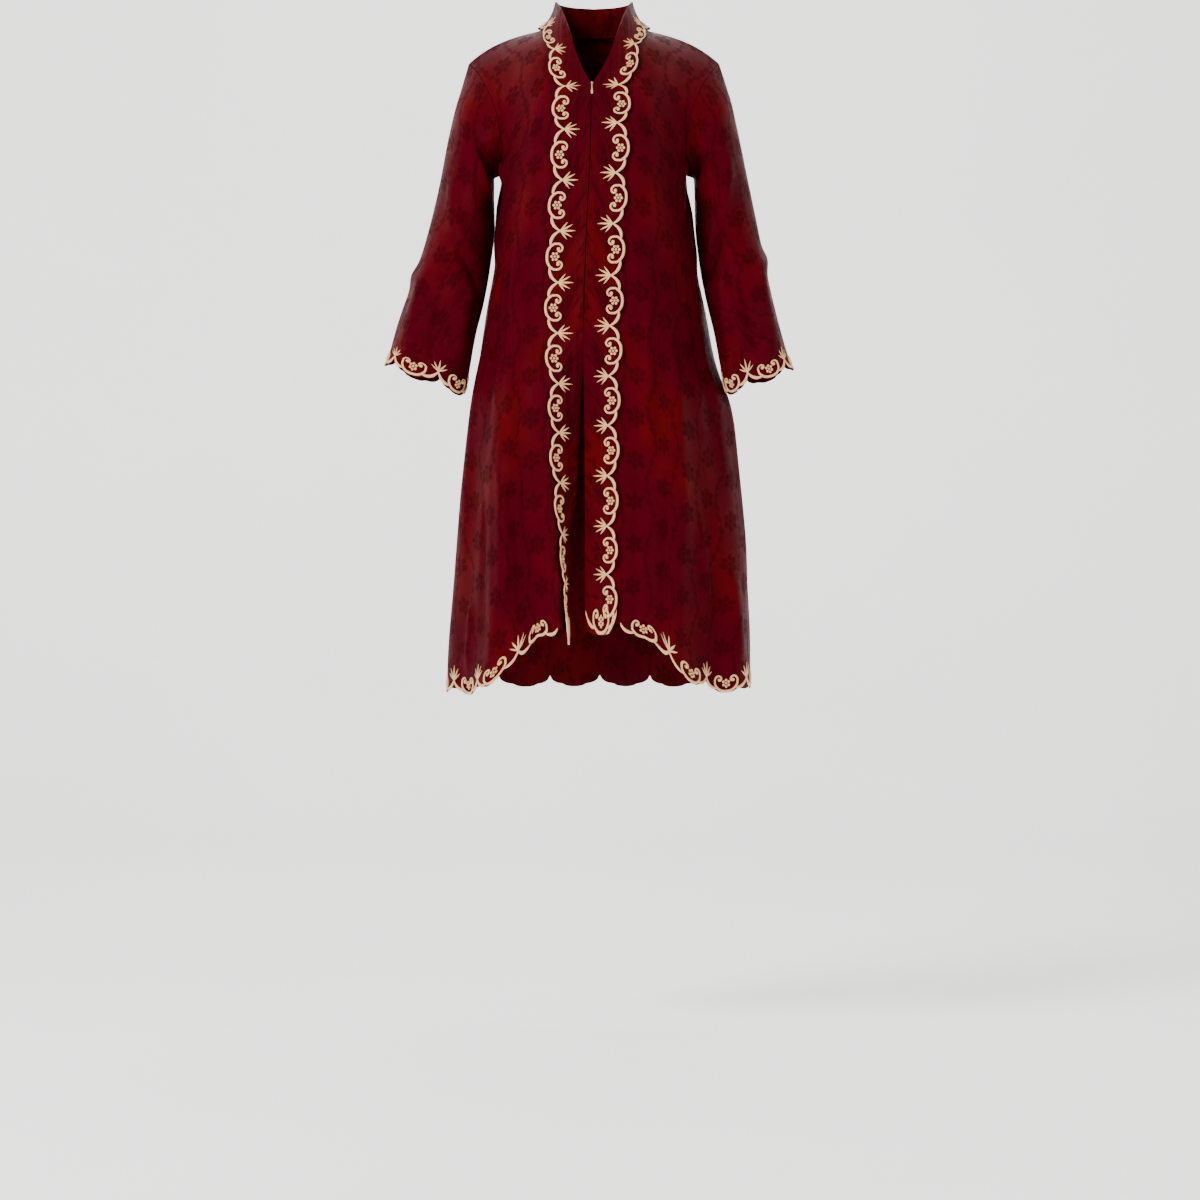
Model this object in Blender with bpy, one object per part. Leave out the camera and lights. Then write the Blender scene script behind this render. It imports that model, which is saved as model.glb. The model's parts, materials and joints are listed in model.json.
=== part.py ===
"""A long kebaya blouse, as it hangs when worn, with no wearer inside.

Metres, +Z up. The front faces -Y and the wearer's left is +X. The origin lies on the centre line,
level with the shoulder seams' neck ends, where the wearer's shoulders carry the blouse.

Each panel is a wall of cloth on a smooth surface. A surface is a stack of rows. A front row starts
at the ridge line, under the outer edge of the front band, and runs to the side seam or the armhole.
A back row starts on the centre back line. Rows are named by their level: below the armpit that is
their height, and above it the level goes on up to the shoulder seam.
"""

import math
from collections import namedtuple

import bmesh
import bpy
import numpy as np
from mathutils import Vector

MM = 0.001
CLOTH = 1.2 * MM  # wall of the body, sleeves and bands
SEAM_GAP = 0.3 * MM  # between the pieces that a seam joins
LEFT, RIGHT = 1, -1  # the wearer's sides: +X is the left

# Driving sizes.
ARMPIT_LEVEL = -225 * MM
SHOULDER_LEVEL = 0.0
V_LEVEL = -112 * MM  # bottom of the neck's V
ZIP_END = -458 * MM
BAND_WIDTH = 58 * MM  # front edge to the top of a scallop
BAND_LIFT = 1.6 * MM  # the band's wall above the front's wall, middle to middle, at its fold
BAND_LOOSE = 2.6 * MM  # how much further the scalloped edge stands off
BAND_CURL = 0.25  # share of the band's width over which the front edge rolls in

# The scalloped border: one repeat is a sprig, a short scallop, a wide scallop and a short one.
REPEAT = 73.5 * MM
SMALL_SPAN = 21.0 * MM
SMALL_DEPTH = 14.2 * MM
WIDE_DEPTH = 18.7 * MM
BORDER_STEPS = (0.0, 0.10, 0.286, 0.37, 0.5, 0.63, 0.714, 0.90)

# The body below the armpits: half width at the side seams, depth in front and behind, and how far
# it all hangs to the wearer's left.
Section = namedtuple("Section", "z side front back lean")
SECTIONS = (
    Section(-1.060, 0.226, 0.157, 0.163, 0.008),
    Section(-0.940, 0.225, 0.154, 0.159, 0.009),
    Section(-0.840, 0.220, 0.150, 0.154, 0.010),
    Section(-0.740, 0.212, 0.145, 0.147, 0.010),
    Section(-0.660, 0.204, 0.141, 0.139, 0.010),
    Section(-0.580, 0.195, 0.136, 0.127, 0.010),
    Section(-0.500, 0.1755, 0.133, 0.113, 0.0045),
    Section(-0.430, 0.1635, 0.134, 0.105, 0.003),
    Section(-0.360, 0.1500, 0.138, 0.107, 0.002),
    Section(-0.300, 0.143, 0.139, 0.113, 0.001),
    Section(-0.225, 0.138, 0.133, 0.118, 0.0),
)

# The front opening leans to the wearer's right. Outer edges of the two bands, and how far each
# front edge rolls in below the zip, in degrees.
Opening = namedtuple("Opening", "z left_edge right_edge left_roll right_roll")
OPENING = (
    Opening(-1.060, 0.0385, -0.0500, 34, 86),
    Opening(-0.900, 0.0385, -0.0520, 34, 86),
    Opening(-0.830, 0.0385, -0.0580, 33, 77),
    Opening(-0.770, 0.0390, -0.0610, 32, 70),
    Opening(-0.700, 0.0400, -0.0690, 29, 50),
    Opening(-0.640, 0.0405, -0.0705, 26, 41),
    Opening(-0.560, 0.0415, -0.0715, 20, 30),
    Opening(-0.458, 0.0430, -0.0730, 0, 0),
    Opening(-0.350, 0.0460, -0.0700, 0, 0),
    Opening(-0.225, 0.0520, -0.0640, 0, 0),
)

# The yoke above the armpits, for the wearer's left and mirrored for the right. level runs from 0 at
# the armpit to 1 at the shoulder seam. start and end are the row's ends, leave and arrive its
# directions there, pull the two handles' lengths as shares of the chord, and lean how far the
# front opening is to the wearer's right of the middle.
YokeRow = namedtuple("YokeRow", "level start end leave arrive pull lean")
FRONT_YOKE = (
    YokeRow(
        0.25, (0.0580, -0.1280, -0.168), (0.1370, -0.0500, -0.197),
        (1, 0.06, 0), (0.32, 0.95, 0), (0.34, 0.40), -0.0045,
    ),
    YokeRow(
        0.50, (0.0582, -0.1150, -0.110), (0.1410, -0.0650, -0.156),
        (1, 0.08, -0.06), (0.70, 0.70, 0), (0.33, 0.34), -0.0030,
    ),
    YokeRow(
        0.65, (0.0655, -0.0960, -0.071), (0.1490, -0.0620, -0.126),
        (1, 0.12, -0.18), (0.85, 0.50, -0.15), (0.33, 0.33), -0.0015,
    ),
    YokeRow(
        0.80, (0.0720, -0.0650, -0.036), (0.1620, -0.0480, -0.096),
        (1, 0.08, -0.26), (0.90, 0.20, -0.35), (0.33, 0.33), 0.0,
    ),
    YokeRow(
        0.91, (0.0780, -0.0300, -0.018), (0.1755, -0.0270, -0.073),
        (1, 0.03, -0.28), (0.85, 0.05, -0.52), (0.33, 0.33), 0.0,
    ),
    YokeRow(
        1.00, (0.0830, 0.0045, -0.0085), (0.1870, 0.0000, -0.057),
        (1, 0.00, -0.22), (0.74, 0.00, -0.67), (0.40, 0.36), 0.0,
    ),
)
BACK_YOKE = (
    YokeRow(
        0.25, (0.0, 0.1180, -0.160), (0.1400, 0.0430, -0.195),
        (1, 0, 0), (0.34, -0.94, 0), (0.36, 0.42), 0.0,
    ),
    YokeRow(
        0.50, (0.0, 0.1110, -0.090), (0.1470, 0.0540, -0.152),
        (1, 0, 0), (0.70, -0.70, 0), (0.34, 0.36), 0.0,
    ),
    YokeRow(
        0.65, (0.0, 0.1000, -0.045), (0.1560, 0.0500, -0.122),
        (1, 0, -0.04), (0.84, -0.50, -0.15), (0.33, 0.34), 0.0,
    ),
    YokeRow(
        0.78, (0.0, 0.0830, -0.007), (0.1655, 0.0410, -0.096),
        (1, -0.02, -0.10), (0.90, -0.25, -0.32), (0.33, 0.33), 0.0,
    ),
    YokeRow(
        0.90, (0.0500, 0.0560, -0.004), (0.1770, 0.0230, -0.073),
        (1, -0.05, -0.24), (0.85, -0.06, -0.50), (0.33, 0.33), 0.0,
    ),
    YokeRow(
        1.00, (0.0690, 0.0045, -0.0050), (0.1870, 0.0000, -0.057),
        (1, 0.00, -0.22), (0.74, 0.00, -0.67), (0.40, 0.32), 0.0,
    ),
)

# Under the band above the V, where the front turns up round the neck, and on to the centre back.
# level goes on past 1 behind the neck. The three points run from the neck edge to the ridge line.
NeckRow = namedtuple("NeckRow", "level inner middle outer")
NECK_ROWS = (
    NeckRow(0.50, (0.0006, -0.1190, -0.108), (0.0295, -0.1180, -0.109), FRONT_YOKE[1].start),
    NeckRow(0.65, (0.0205, -0.1060, -0.068), (0.0435, -0.1040, -0.069), FRONT_YOKE[2].start),
    NeckRow(0.80, (0.0360, -0.0850, -0.019), (0.0550, -0.0760, -0.031), FRONT_YOKE[3].start),
    NeckRow(0.91, (0.0480, -0.0500, 0.0160), (0.0620, -0.0420, -0.005), FRONT_YOKE[4].start),
    NeckRow(1.00, (0.0560, -0.0030, 0.0350), (0.0665, 0.0020, 0.006), FRONT_YOKE[5].start),
    NeckRow(1.12, (0.0520, 0.0280, 0.0370), (0.0615, 0.0330, 0.008), (0.0780, 0.0400, -0.0095)),
    NeckRow(1.25, (0.0300, 0.0580, 0.0370), (0.0350, 0.0670, 0.006), (0.0450, 0.0820, -0.0180)),
    NeckRow(1.36, (0.0, 0.0690, 0.0370), (0.0, 0.0800, 0.002), (0.0, 0.0960, -0.0280)),
)

# Levels of the cusps along each front band, from its bottom end up to the shoulder seam.
Cusp = namedtuple("Cusp", "place left right")
BAND_CUSPS = (
    Cusp(0, -0.897, -0.905),
    Cusp(1, -0.825, -0.8385),
    Cusp(2, -0.7545, -0.7665),
    Cusp(3, -0.681, -0.6915),
    Cusp(4, -0.6075, -0.618),
    Cusp(5, -0.535, -0.546),
    Cusp(6, -0.462, -0.4725),
    Cusp(7, -0.3885, -0.399),
    Cusp(8, -0.3135, -0.324),
    Cusp(9, -0.239, -0.250),
    Cusp(10, -0.166, -0.1755),
    Cusp(11, -0.1125, -0.1155),
    Cusp(12, -0.0555, -0.064),
    Cusp(13.5, 0.0, 0.0),
)
NECK_REPEATS = 2  # behind the neck, from a shoulder seam to the centre back
BAND_END_DEPTHS = {LEFT: 17 * MM, RIGHT: 24 * MM}  # the scallop across a band's bottom end

# The cusps of the front hems, from the ridge line (0) to the side seam (1).
Hem = namedtuple("Hem", "across left right")
FRONT_HEM = (
    Hem(0.00, -0.897, -0.905),
    Hem(0.12, -0.899, -0.897),
    Hem(0.18, -0.912, -0.914),
    Hem(0.24, -0.935, -0.935),
    Hem(0.33, -0.958, -0.952),
    Hem(0.44, -0.971, -0.975),
    Hem(0.58, -0.980, -0.983),
    Hem(0.80, -0.976, -0.982),
    Hem(1.00, -0.974, -0.978),
)
BACK_HEM_Z = -0.977

# The largest folds below the bust. across runs from the ridge or the centre back (0) to the side
# seam (1), at the fold's top and at the hem. height is out from the surface, and negative inward.
Fold = namedtuple("Fold", "panel top_across hem_across width height start")
FOLDS = (
    Fold("front_right", 0.22, 0.17, 0.085, -0.017, -0.42),
    Fold("front_right", 0.40, 0.40, 0.095, 0.010, -0.36),
    Fold("front_right", 0.60, 0.63, 0.080, -0.008, -0.50),
    Fold("front_right", 0.78, 0.82, 0.080, 0.006, -0.45),
    Fold("front_left", 0.10, 0.10, 0.070, -0.006, -0.50),
    Fold("front_left", 0.26, 0.29, 0.095, 0.011, -0.38),
    Fold("front_left", 0.48, 0.53, 0.090, -0.014, -0.44),
    Fold("front_left", 0.72, 0.76, 0.080, 0.007, -0.48),
    Fold("back", -0.76, -0.80, 0.080, -0.009, -0.46),
    Fold("back", -0.50, -0.56, 0.090, 0.012, -0.40),
    Fold("back", -0.26, -0.31, 0.080, -0.012, -0.44),
    Fold("back", 0.02, 0.03, 0.090, 0.010, -0.36),
    Fold("back", 0.28, 0.33, 0.080, -0.011, -0.42),
    Fold("back", 0.52, 0.58, 0.090, 0.011, -0.38),
    Fold("back", 0.76, 0.80, 0.080, -0.008, -0.48),
)
FOLD_FULL = -0.97  # level at which a fold has its whole height

# The sleeves: the highest and the lowest point of each ring, seen from the front, its middle's y
# and its half depth. The arms hang a little differently.
Ring = namedtuple("Ring", "along outer inner middle_y half_depth")
SLEEVES = {
    LEFT: (
        Ring(0.12, (0.2025, -0.106), (0.1500, -0.2310), -0.001, 0.0620),
        Ring(0.26, (0.2135, -0.152), (0.1510, -0.2560), -0.003, 0.0600),
        Ring(0.42, (0.2285, -0.225), (0.1520, -0.3020), -0.005, 0.0560),
        Ring(0.58, (0.2440, -0.302), (0.1590, -0.3660), -0.014, 0.0510),
        Ring(0.72, (0.2565, -0.370), (0.1680, -0.4160), -0.028, 0.0480),
        Ring(0.86, (0.2700, -0.434), (0.1790, -0.4650), -0.044, 0.0470),
        Ring(1.00, (0.2890, -0.505), (0.1925, -0.5410), -0.060, 0.0470),
        Ring(1.10, (0.2985, -0.529), (0.1990, -0.5670), -0.066, 0.0470),
    ),
    RIGHT: (
        Ring(0.12, (0.2025, -0.110), (0.1500, -0.2310), -0.001, 0.0620),
        Ring(0.26, (0.2165, -0.165), (0.1500, -0.2560), -0.003, 0.0600),
        Ring(0.42, (0.2330, -0.250), (0.1490, -0.3020), -0.005, 0.0560),
        Ring(0.58, (0.2530, -0.330), (0.1560, -0.3660), -0.010, 0.0510),
        Ring(0.72, (0.2740, -0.395), (0.1650, -0.4180), -0.018, 0.0480),
        Ring(0.86, (0.2930, -0.452), (0.1770, -0.4680), -0.027, 0.0470),
        Ring(1.00, (0.3050, -0.497), (0.1895, -0.5410), -0.036, 0.0470),
        Ring(1.10, (0.3140, -0.521), (0.1955, -0.5670), -0.040, 0.0470),
    ),
}
CUFF_EXTENSION = 27 * MM  # length of cloth from along 1 to the last ring
CUFF_REPEATS = 5
FRONT_HEM_REPEATS = 4
BACK_HEM_REPEATS = 8

Finish = namedtuple("Finish", "name colour roughness metallic")
JACQUARD = Finish("jacquard", (0.30, 0.012, 0.025, 1), 0.45, 0.0)
ZIP_TAPE = Finish("zip_tape", (0.16, 0.008, 0.016, 1), 0.8, 0.0)
ZIP_METAL = Finish("zip_enamel", (0.80, 0.58, 0.40, 1), 0.35, 0.3)


# ---------------------------------------------------------------- curves and surfaces


def slopes_at(knots, values):
    """Slopes at the knots for a smooth curve that never overshoots its values."""
    steps = np.diff(knots).reshape(-1, *[1] * (values.ndim - 1))
    rise = np.diff(values, axis=0) / steps
    before, after = rise[:-1], rise[1:]
    w1, w2 = 2 * steps[1:] + steps[:-1], steps[1:] + 2 * steps[:-1]
    same = before * after > 0
    safe_before, safe_after = np.where(same, before, 1.0), np.where(same, after, 1.0)
    middle = np.where(same, (w1 + w2) / (w1 / safe_before + w2 / safe_after), 0.0)
    return np.concatenate([rise[:1], middle, rise[-1:]])


def through(knots, values, at):
    """A smooth curve through the values at the knots, read at each number of at.

    values is one row per knot, or one row per knot and number.
    """
    knots, values = np.asarray(knots, float), np.asarray(values, float)
    at = np.atleast_1d(np.asarray(at, float))
    if values.ndim < 3:
        values = values.reshape(len(knots), 1, -1)
    slopes = slopes_at(knots, values)
    i = np.clip(np.searchsorted(knots, at) - 1, 0, len(knots) - 2)
    n = np.arange(len(at)) if values.shape[1] > 1 else np.zeros(len(at), int)
    step = (knots[i + 1] - knots[i])[:, None]
    u = (at - knots[i])[:, None] / step
    u2, u3 = u * u, u * u * u
    return (
        (2 * u3 - 3 * u2 + 1) * values[i, n]
        + (u3 - 2 * u2 + u) * step * slopes[i, n]
        + (3 * u2 - 2 * u3) * values[i + 1, n]
        + (u3 - u2) * step * slopes[i + 1, n]
    )


def smooth(x):
    """0 below 0 and 1 above 1, with an easy change between."""
    x = np.clip(x, 0.0, 1.0)
    return x * x * (3 - 2 * x)


def unit(v):
    """The vectors, each with a length of 1."""
    return v / np.maximum(np.linalg.norm(v, axis=-1, keepdims=True), 1e-12)


def opening_columns(z):
    """left_edge, right_edge, left_roll and right_roll at these heights."""
    return through([r.z for r in OPENING], [list(r)[1:] for r in OPENING], z)


def yoke_level(share):
    """The level of a yoke row: share is 0 at the armpit and 1 at the shoulder seam."""
    return ARMPIT_LEVEL + share * (SHOULDER_LEVEL - ARMPIT_LEVEL)


class Rows:
    """A panel's rows: the columns of its sections and its yoke, read at any level."""

    def __init__(self, panel):
        self.panel = panel
        self.side = RIGHT if panel == "front_right" else LEFT
        levels = [s.z for s in SECTIONS]
        columns = [self.section_row(s) for s in SECTIONS]
        for row in BACK_YOKE if panel == "back" else FRONT_YOKE:
            x, y, z = row.start
            levels.append(yoke_level(row.level))
            columns.append([x + self.side * row.lean, y, z, *row.end, *row.leave, *row.arrive, *row.pull])
        self.levels = np.array(levels)
        self.columns = np.array(columns)

    def section_row(self, s):
        """The row at one of the body's sections, for the wearer's left."""
        if self.panel == "back":
            return [0, s.back, s.z, s.side, 0, s.z, 1, 0, 0, 0, -1, 0, 0.44, 0.44]
        opening = opening_columns([s.z])[0]
        ridge = opening[0] if self.side == LEFT else -opening[1]
        return [ridge, -s.front, s.z, s.side + self.side * s.lean, 0, s.z, 1, 0.04, 0, 0, 1, 0, 0.36, 0.46]

    def at(self, level):
        """start, end, leave, arrive and the two pulls of the rows at these levels."""
        c = through(self.levels, self.columns, level)
        return c[:, 0:3], c[:, 3:6], unit(c[:, 6:9]), unit(c[:, 9:12]), c[:, 12:14]


ROWS = {panel: Rows(panel) for panel in ("front_left", "front_right", "back")}


def row_points(start, end, leave, arrive, pull, share):
    """Points a share of the way along each row, by length, and the rows' directions there."""
    chord = np.linalg.norm(end - start, axis=1, keepdims=True)
    first = start + leave * chord * pull[:, :1]
    second = end - arrive * chord * pull[:, 1:]

    def bezier(u):
        v = 1 - u
        return start * v**3 + first * 3 * v * v * u + second * 3 * v * u * u + end * u**3

    steps = np.linspace(0, 1, 17)
    samples = np.stack([bezier(np.full((len(start), 1), s)) for s in steps])
    lengths = np.linalg.norm(np.diff(samples, axis=0), axis=2)
    run = np.vstack([np.zeros(len(start)), np.cumsum(lengths, axis=0)])
    u = np.array([np.interp(s * run[-1, k], run[:, k], steps) for k, s in enumerate(share)])[:, None]
    v = 1 - u
    slope = (first - start) * v * v + (second - first) * 2 * v * u + (end - second) * u * u
    return bezier(u), unit(slope)


def fold_height(panel, across, level):
    """How far the folds move the cloth out from its smooth surface."""
    total = np.zeros(len(across))
    for f in FOLDS:
        if f.panel != panel:
            continue
        grown = smooth((f.start - level) / (f.start - FOLD_FULL))
        centre = f.top_across + (f.hem_across - f.top_across) * grown
        shape = np.exp(-(((across - centre) / (f.width * (0.8 + 0.35 * grown))) ** 2))
        total += f.height * grown * shape
    return total


def seam_ease(across):
    """Lets the folds die out at the side seams, so that the panels still meet."""
    return smooth((1 - np.abs(across)) / 0.12)


def neck_surface(side, width, level):
    """Points round the neck, mirrored for the right. width is 0 at the neck edge, 1 at the ridge."""
    table = [[*r.inner, *r.middle, *r.outer] for r in NECK_ROWS]
    c = through([yoke_level(r.level) for r in NECK_ROWS], table, level)
    leans = [side * r.lean for r in FRONT_YOKE]
    lean = through([yoke_level(r.level) for r in FRONT_YOKE], leans, np.minimum(level, SHOULDER_LEVEL))
    inner, middle, outer = c[:, 0:3], c[:, 3:6], c[:, 6:9]
    control = 2 * middle - (inner + outer) / 2
    w = width[:, None]
    points = inner * (1 - w) ** 2 + control * 2 * w * (1 - w) + outer * w * w
    return points + lean * [1, 0, 0]


def ridge_ease(across):
    """Lets the folds die out at the ridge, under the band's outer edge."""
    return smooth(across / 0.10)


def rolled(rows, leave, level, share):
    """The inward direction, turned back by this share of the roll at each level."""
    column = 2 if rows.side == LEFT else 3
    roll = opening_columns(np.clip(level, SECTIONS[0].z, OPENING[-1].z))[:, column]
    c, s = np.cos(np.radians(roll) * share), np.sin(np.radians(roll) * share)
    x, y, z = -leave.T
    return np.stack([x * c + y * s, y * c - x * s, z], axis=1)


def edge_surface(rows, reach, level, flat):
    """Points from the ridge (reach 0) to the front edge (1). flat gives the line that the band keeps.

    Below the zip the front rolls in just past the ridge, and the stiff band springs off it there.
    """
    start, _, leave, _, _ = rows.at(level)
    low, steps = start, 12
    gone = np.ones(len(level)) if flat else np.clip(reach, 0, 1)
    for k in range(steps):
        turned = rolled(rows, leave, level, smooth((k + 0.5) / steps * gone / BAND_CURL))
        low = low + turned * (gone * BAND_WIDTH / steps)[:, None]
    if flat:
        low = low - rolled(rows, leave, level, np.ones(len(level))) * ((1 - reach) * BAND_WIDTH)[:, None]
    # The neck's points take over from the rolled edge above the V.
    high = neck_surface(rows.side, 1 - reach, np.maximum(level, yoke_level(0.5)))
    mix = smooth((level - yoke_level(0.38)) / (yoke_level(0.58) - yoke_level(0.38)))[:, None]
    return low * (1 - mix) + high * mix


def front_surface(panel, across, level):
    """Points of a front. across is 0 at the ridge, 1 at the side, and -1 at the front edge."""
    rows = ROWS[panel]
    across, level = np.asarray(across, float), np.asarray(level, float)
    start, end, leave, arrive, pull = rows.at(level)
    inside = np.maximum(across, 0)
    body, slope = row_points(start, end, leave, arrive, pull, np.minimum(inside, 1))
    out = unit(np.stack([slope[:, 1], -slope[:, 0], np.zeros(len(slope))], axis=1))
    height = fold_height(panel, inside, level) * ridge_ease(inside) * seam_ease(inside)
    body = body + out * height[:, None]
    edge = edge_surface(rows, np.maximum(-across, 0), level, False)
    points = np.where(across[:, None] < 0, edge, body)
    return points * [rows.side, 1, 1]


def back_surface(across, level):
    """Points of the back. across runs from -1 at the right side seam to 1 at the left one."""
    across = np.asarray(across, float)
    start, end, leave, arrive, pull = ROWS["back"].at(level)
    points, slope = row_points(start, end, leave, arrive, pull, np.abs(across))
    out = unit(np.stack([-slope[:, 1], slope[:, 0], np.zeros(len(slope))], axis=1))
    points = points + out * (fold_height("back", across, level) * seam_ease(across))[:, None]
    mirror = np.where(across < 0, -1.0, 1.0)
    points = points * np.stack([mirror, np.ones(len(across)), np.ones(len(across))], axis=1)
    lean = through([s.z for s in SECTIONS], [s.lean for s in SECTIONS], np.minimum(level, ARMPIT_LEVEL))
    return points + lean * [1, 0, 0]


def armhole(angle):
    """The armhole's loop for the left: 0 at the shoulder, 90 in front, 180 under the arm, 270 behind."""
    angle = np.mod(angle, 360.0)
    in_front = angle <= 180
    level = yoke_level(np.where(in_front, 1 - angle / 180, (angle - 180) / 180))
    front, back = ROWS["front_left"].at(level)[1], ROWS["back"].at(level)[1]
    return np.where(in_front[:, None], front, back)


def sleeve_surface(side, angle, along):
    """Points of a sleeve. along is 0 at the armhole and 1 at the cuff's cusps."""
    angle, along = np.asarray(angle, float), np.asarray(along, float)
    turn = np.radians(angle)
    stack = [armhole(angle)]
    for r in SLEEVES[side]:
        top, low = np.array(r.outer), np.array(r.inner)
        flat = (top + low) / 2 + (top - low) / 2 * np.cos(turn)[:, None]
        y = r.middle_y - r.half_depth * np.sin(turn)
        stack.append(np.stack([flat[:, 0], y, flat[:, 1]], axis=1))
    return through([0.0] + [r.along for r in SLEEVES[side]], np.stack(stack), along) * [side, 1, 1]


def band_surface(side, width, level):
    """Points of a front band. width is 0 at its fold and 1 at the scallops' tops."""
    rows = ROWS["front_left" if side == LEFT else "front_right"]
    width, level = np.asarray(width, float), np.asarray(level, float)

    def under(a, b):
        return edge_surface(rows, 1 - a, b, True) * [side, 1, 1]

    lift = BAND_LIFT + BAND_LOOSE * smooth(width)
    return under(width, level) + normals_of(under, width, level, side) * lift[:, None]


def neck_band_surface(around, width):
    """Points of the neck band: around is -1 at the right shoulder seam and 1 at the left one."""

    def under(a, b):
        level = yoke_level(1 + (NECK_ROWS[-1].level - 1) * (1 - np.abs(a)))
        mirror = np.where(a < 0, -1.0, 1.0)
        return neck_surface(LEFT, b, level) * np.stack([mirror, np.ones(len(a)), np.ones(len(a))], axis=1)

    lift = BAND_LIFT + BAND_LOOSE * smooth(width)
    return under(around, width) + normals_of(under, around, width, 1) * lift[:, None]


def normals_of(surface, a, b, turn):
    """Outward normals. turn is 1 where a's direction crossed with b's points out, or else -1."""
    small = 1e-4
    along_a = surface(a + small, b) - surface(a - small, b)
    along_b = surface(a, b + small) - surface(a, b - small)
    return unit(np.cross(unit(along_a), unit(along_b))) * turn


# ---------------------------------------------------------------- the scalloped border


def scallop(place):
    """How far the border reaches beyond its cusps, at a place along it counted in repeats."""
    from_cusp = np.abs(np.mod(place + 0.5, 1.0) - 0.5) * REPEAT
    small = SMALL_DEPTH * np.sqrt(np.clip(1 - (1 - np.clip(from_cusp / SMALL_SPAN, 0, 1)) ** 2, 0, 1))
    half = REPEAT / 2 - SMALL_SPAN
    wide = SMALL_DEPTH + (WIDE_DEPTH - SMALL_DEPTH) * np.sqrt(
        np.clip(1 - ((REPEAT / 2 - from_cusp) / half) ** 2, 0, 1)
    )
    return np.where(from_cusp < SMALL_SPAN, small, wide)


def border_places(repeats):
    """The places along a border that its outline needs, in repeats, from 0 to repeats."""
    places = [n + step for n in range(repeats) for step in BORDER_STEPS]
    return np.array(places + [repeats])


# ---------------------------------------------------------------- meshes


def strips(rows):
    """Triangles between rows of points. A row is its points' numbers and their shares along it."""
    faces = []
    for (low, low_at), (high, high_at) in zip(rows, rows[1:]):
        i, j = 0, 0
        while i < len(low) - 1 or j < len(high) - 1:
            step_low = j == len(high) - 1 or (i < len(low) - 1 and low_at[i + 1] <= high_at[j + 1])
            if step_low:
                face = (low[i], low[i + 1], high[j])
                i += 1
            else:
                face = (low[i], high[j + 1], high[j])
                j += 1
            if len(set(face)) == 3:
                faces.append(face)
    return faces


def wall(name, groups, surface, turn, finish, thickness=CLOTH, period=None, depth=0.0):
    """A cloth wall with the surface in its middle, moved in by depth.

    groups holds stacks of rows, and a row is a pair (a, b) of arrays for the surface. Points with
    the same (a, b) are one point, so stacks can join. A tube's a comes round after its period.
    """
    index, pairs, faces = {}, [], []
    for rows in groups:
        numbered = []
        for a, b in rows:
            numbers = []
            for pair in zip(a, np.broadcast_to(b, a.shape)):
                round_a = pair[0] % period if period else pair[0]
                key = (round(float(round_a), 6), round(float(pair[1]), 7))
                if key not in index:
                    index[key] = len(pairs)
                    pairs.append(pair)
                numbers.append(index[key])
            numbered.append((numbers, (a - a[0]) / (a[-1] - a[0])))
        faces += strips(numbered)
    a, b = np.array(pairs).T
    points, out = surface(a, b), normals_of(surface, a, b, turn)
    outer, inner = points - out * (depth - thickness / 2), points - out * (depth + thickness / 2)
    counts = {e for f in faces for e in zip(f, f[1:] + f[:1])}
    rims = [e for e in sorted(counts) if (e[1], e[0]) not in counts]
    n = len(a)
    every = faces + [(f[2] + n, f[1] + n, f[0] + n) for f in faces]
    for p, q in rims:
        every += [(q, p, p + n), (q, p + n, q + n)]
    return make_object(name, np.vstack([outer, inner]), every, finish)


def make_object(name, points, faces, finish):
    """A mesh object with its faces pointing out."""
    mesh = bpy.data.meshes.new(name)
    mesh.from_pydata([tuple(p) for p in points], [], faces)
    bm = bmesh.new()
    bm.from_mesh(mesh)
    loose = [v for v in bm.verts if not v.link_faces]
    bmesh.ops.delete(bm, geom=loose, context="VERTS")
    bmesh.ops.recalc_face_normals(bm, faces=bm.faces)
    if bm.calc_volume(signed=True) < 0:
        bmesh.ops.reverse_faces(bm, faces=bm.faces)
    bm.to_mesh(mesh)
    bm.free()
    obj = bpy.data.objects.new(name, mesh)
    bpy.context.scene.collection.objects.link(obj)
    mesh.materials.append(material(finish))
    mesh.shade_smooth()
    mesh.set_sharp_from_angle(angle=math.radians(50))
    return obj


def material(finish):
    """The finish as a Principled material, made once."""
    found = bpy.data.materials.get(finish.name)
    if found:
        return found
    made = bpy.data.materials.new(finish.name)
    made.use_nodes = True
    shader = made.node_tree.nodes["Principled BSDF"]
    shader.inputs["Base Color"].default_value = finish.colour
    shader.inputs["Roughness"].default_value = finish.roughness
    shader.inputs["Metallic"].default_value = finish.metallic
    made.diffuse_color = finish.colour
    return made


# ---------------------------------------------------------------- the garment's pieces

BODY_LEVELS = (-0.85, -0.79, -0.73, -0.67, -0.61, -0.56, -0.51, -0.458, -0.39, -0.31)
YOKE_SHARES = tuple(k / 10 for k in range(10))
LEVELS = (*BODY_LEVELS, *(ARMPIT_LEVEL * (1 - s) for s in YOKE_SHARES))
NECK_SHARE = 0.78  # the back neckline's lowest point, as a share of the yoke
FRONT_COLUMNS = (0.0, 0.09, 0.18, 0.28, 0.38, 0.48, 0.59, 0.70, 0.80, 0.90)
BACK_COLUMNS = (0.12, 0.24, 0.36, 0.48, 0.60, 0.72, 0.82, 0.91)
BAND_WIDTHS = (0.5 * MM / BAND_WIDTH, 0.14, 0.32, 0.50, 0.64)  # then the scalloped edge
ROW_LENGTH = 0.22  # rough length of a row, for gaps given as shares of it
ROW_END = 1 - SEAM_GAP / ROW_LENGTH
TOP_SHARE = 1 - 2.2 * SEAM_GAP / (SHOULDER_LEVEL - ARMPIT_LEVEL)


def level_row(columns, level):
    """A row at one level."""
    return np.asarray(columns, float), np.full(len(columns), float(level))


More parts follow.
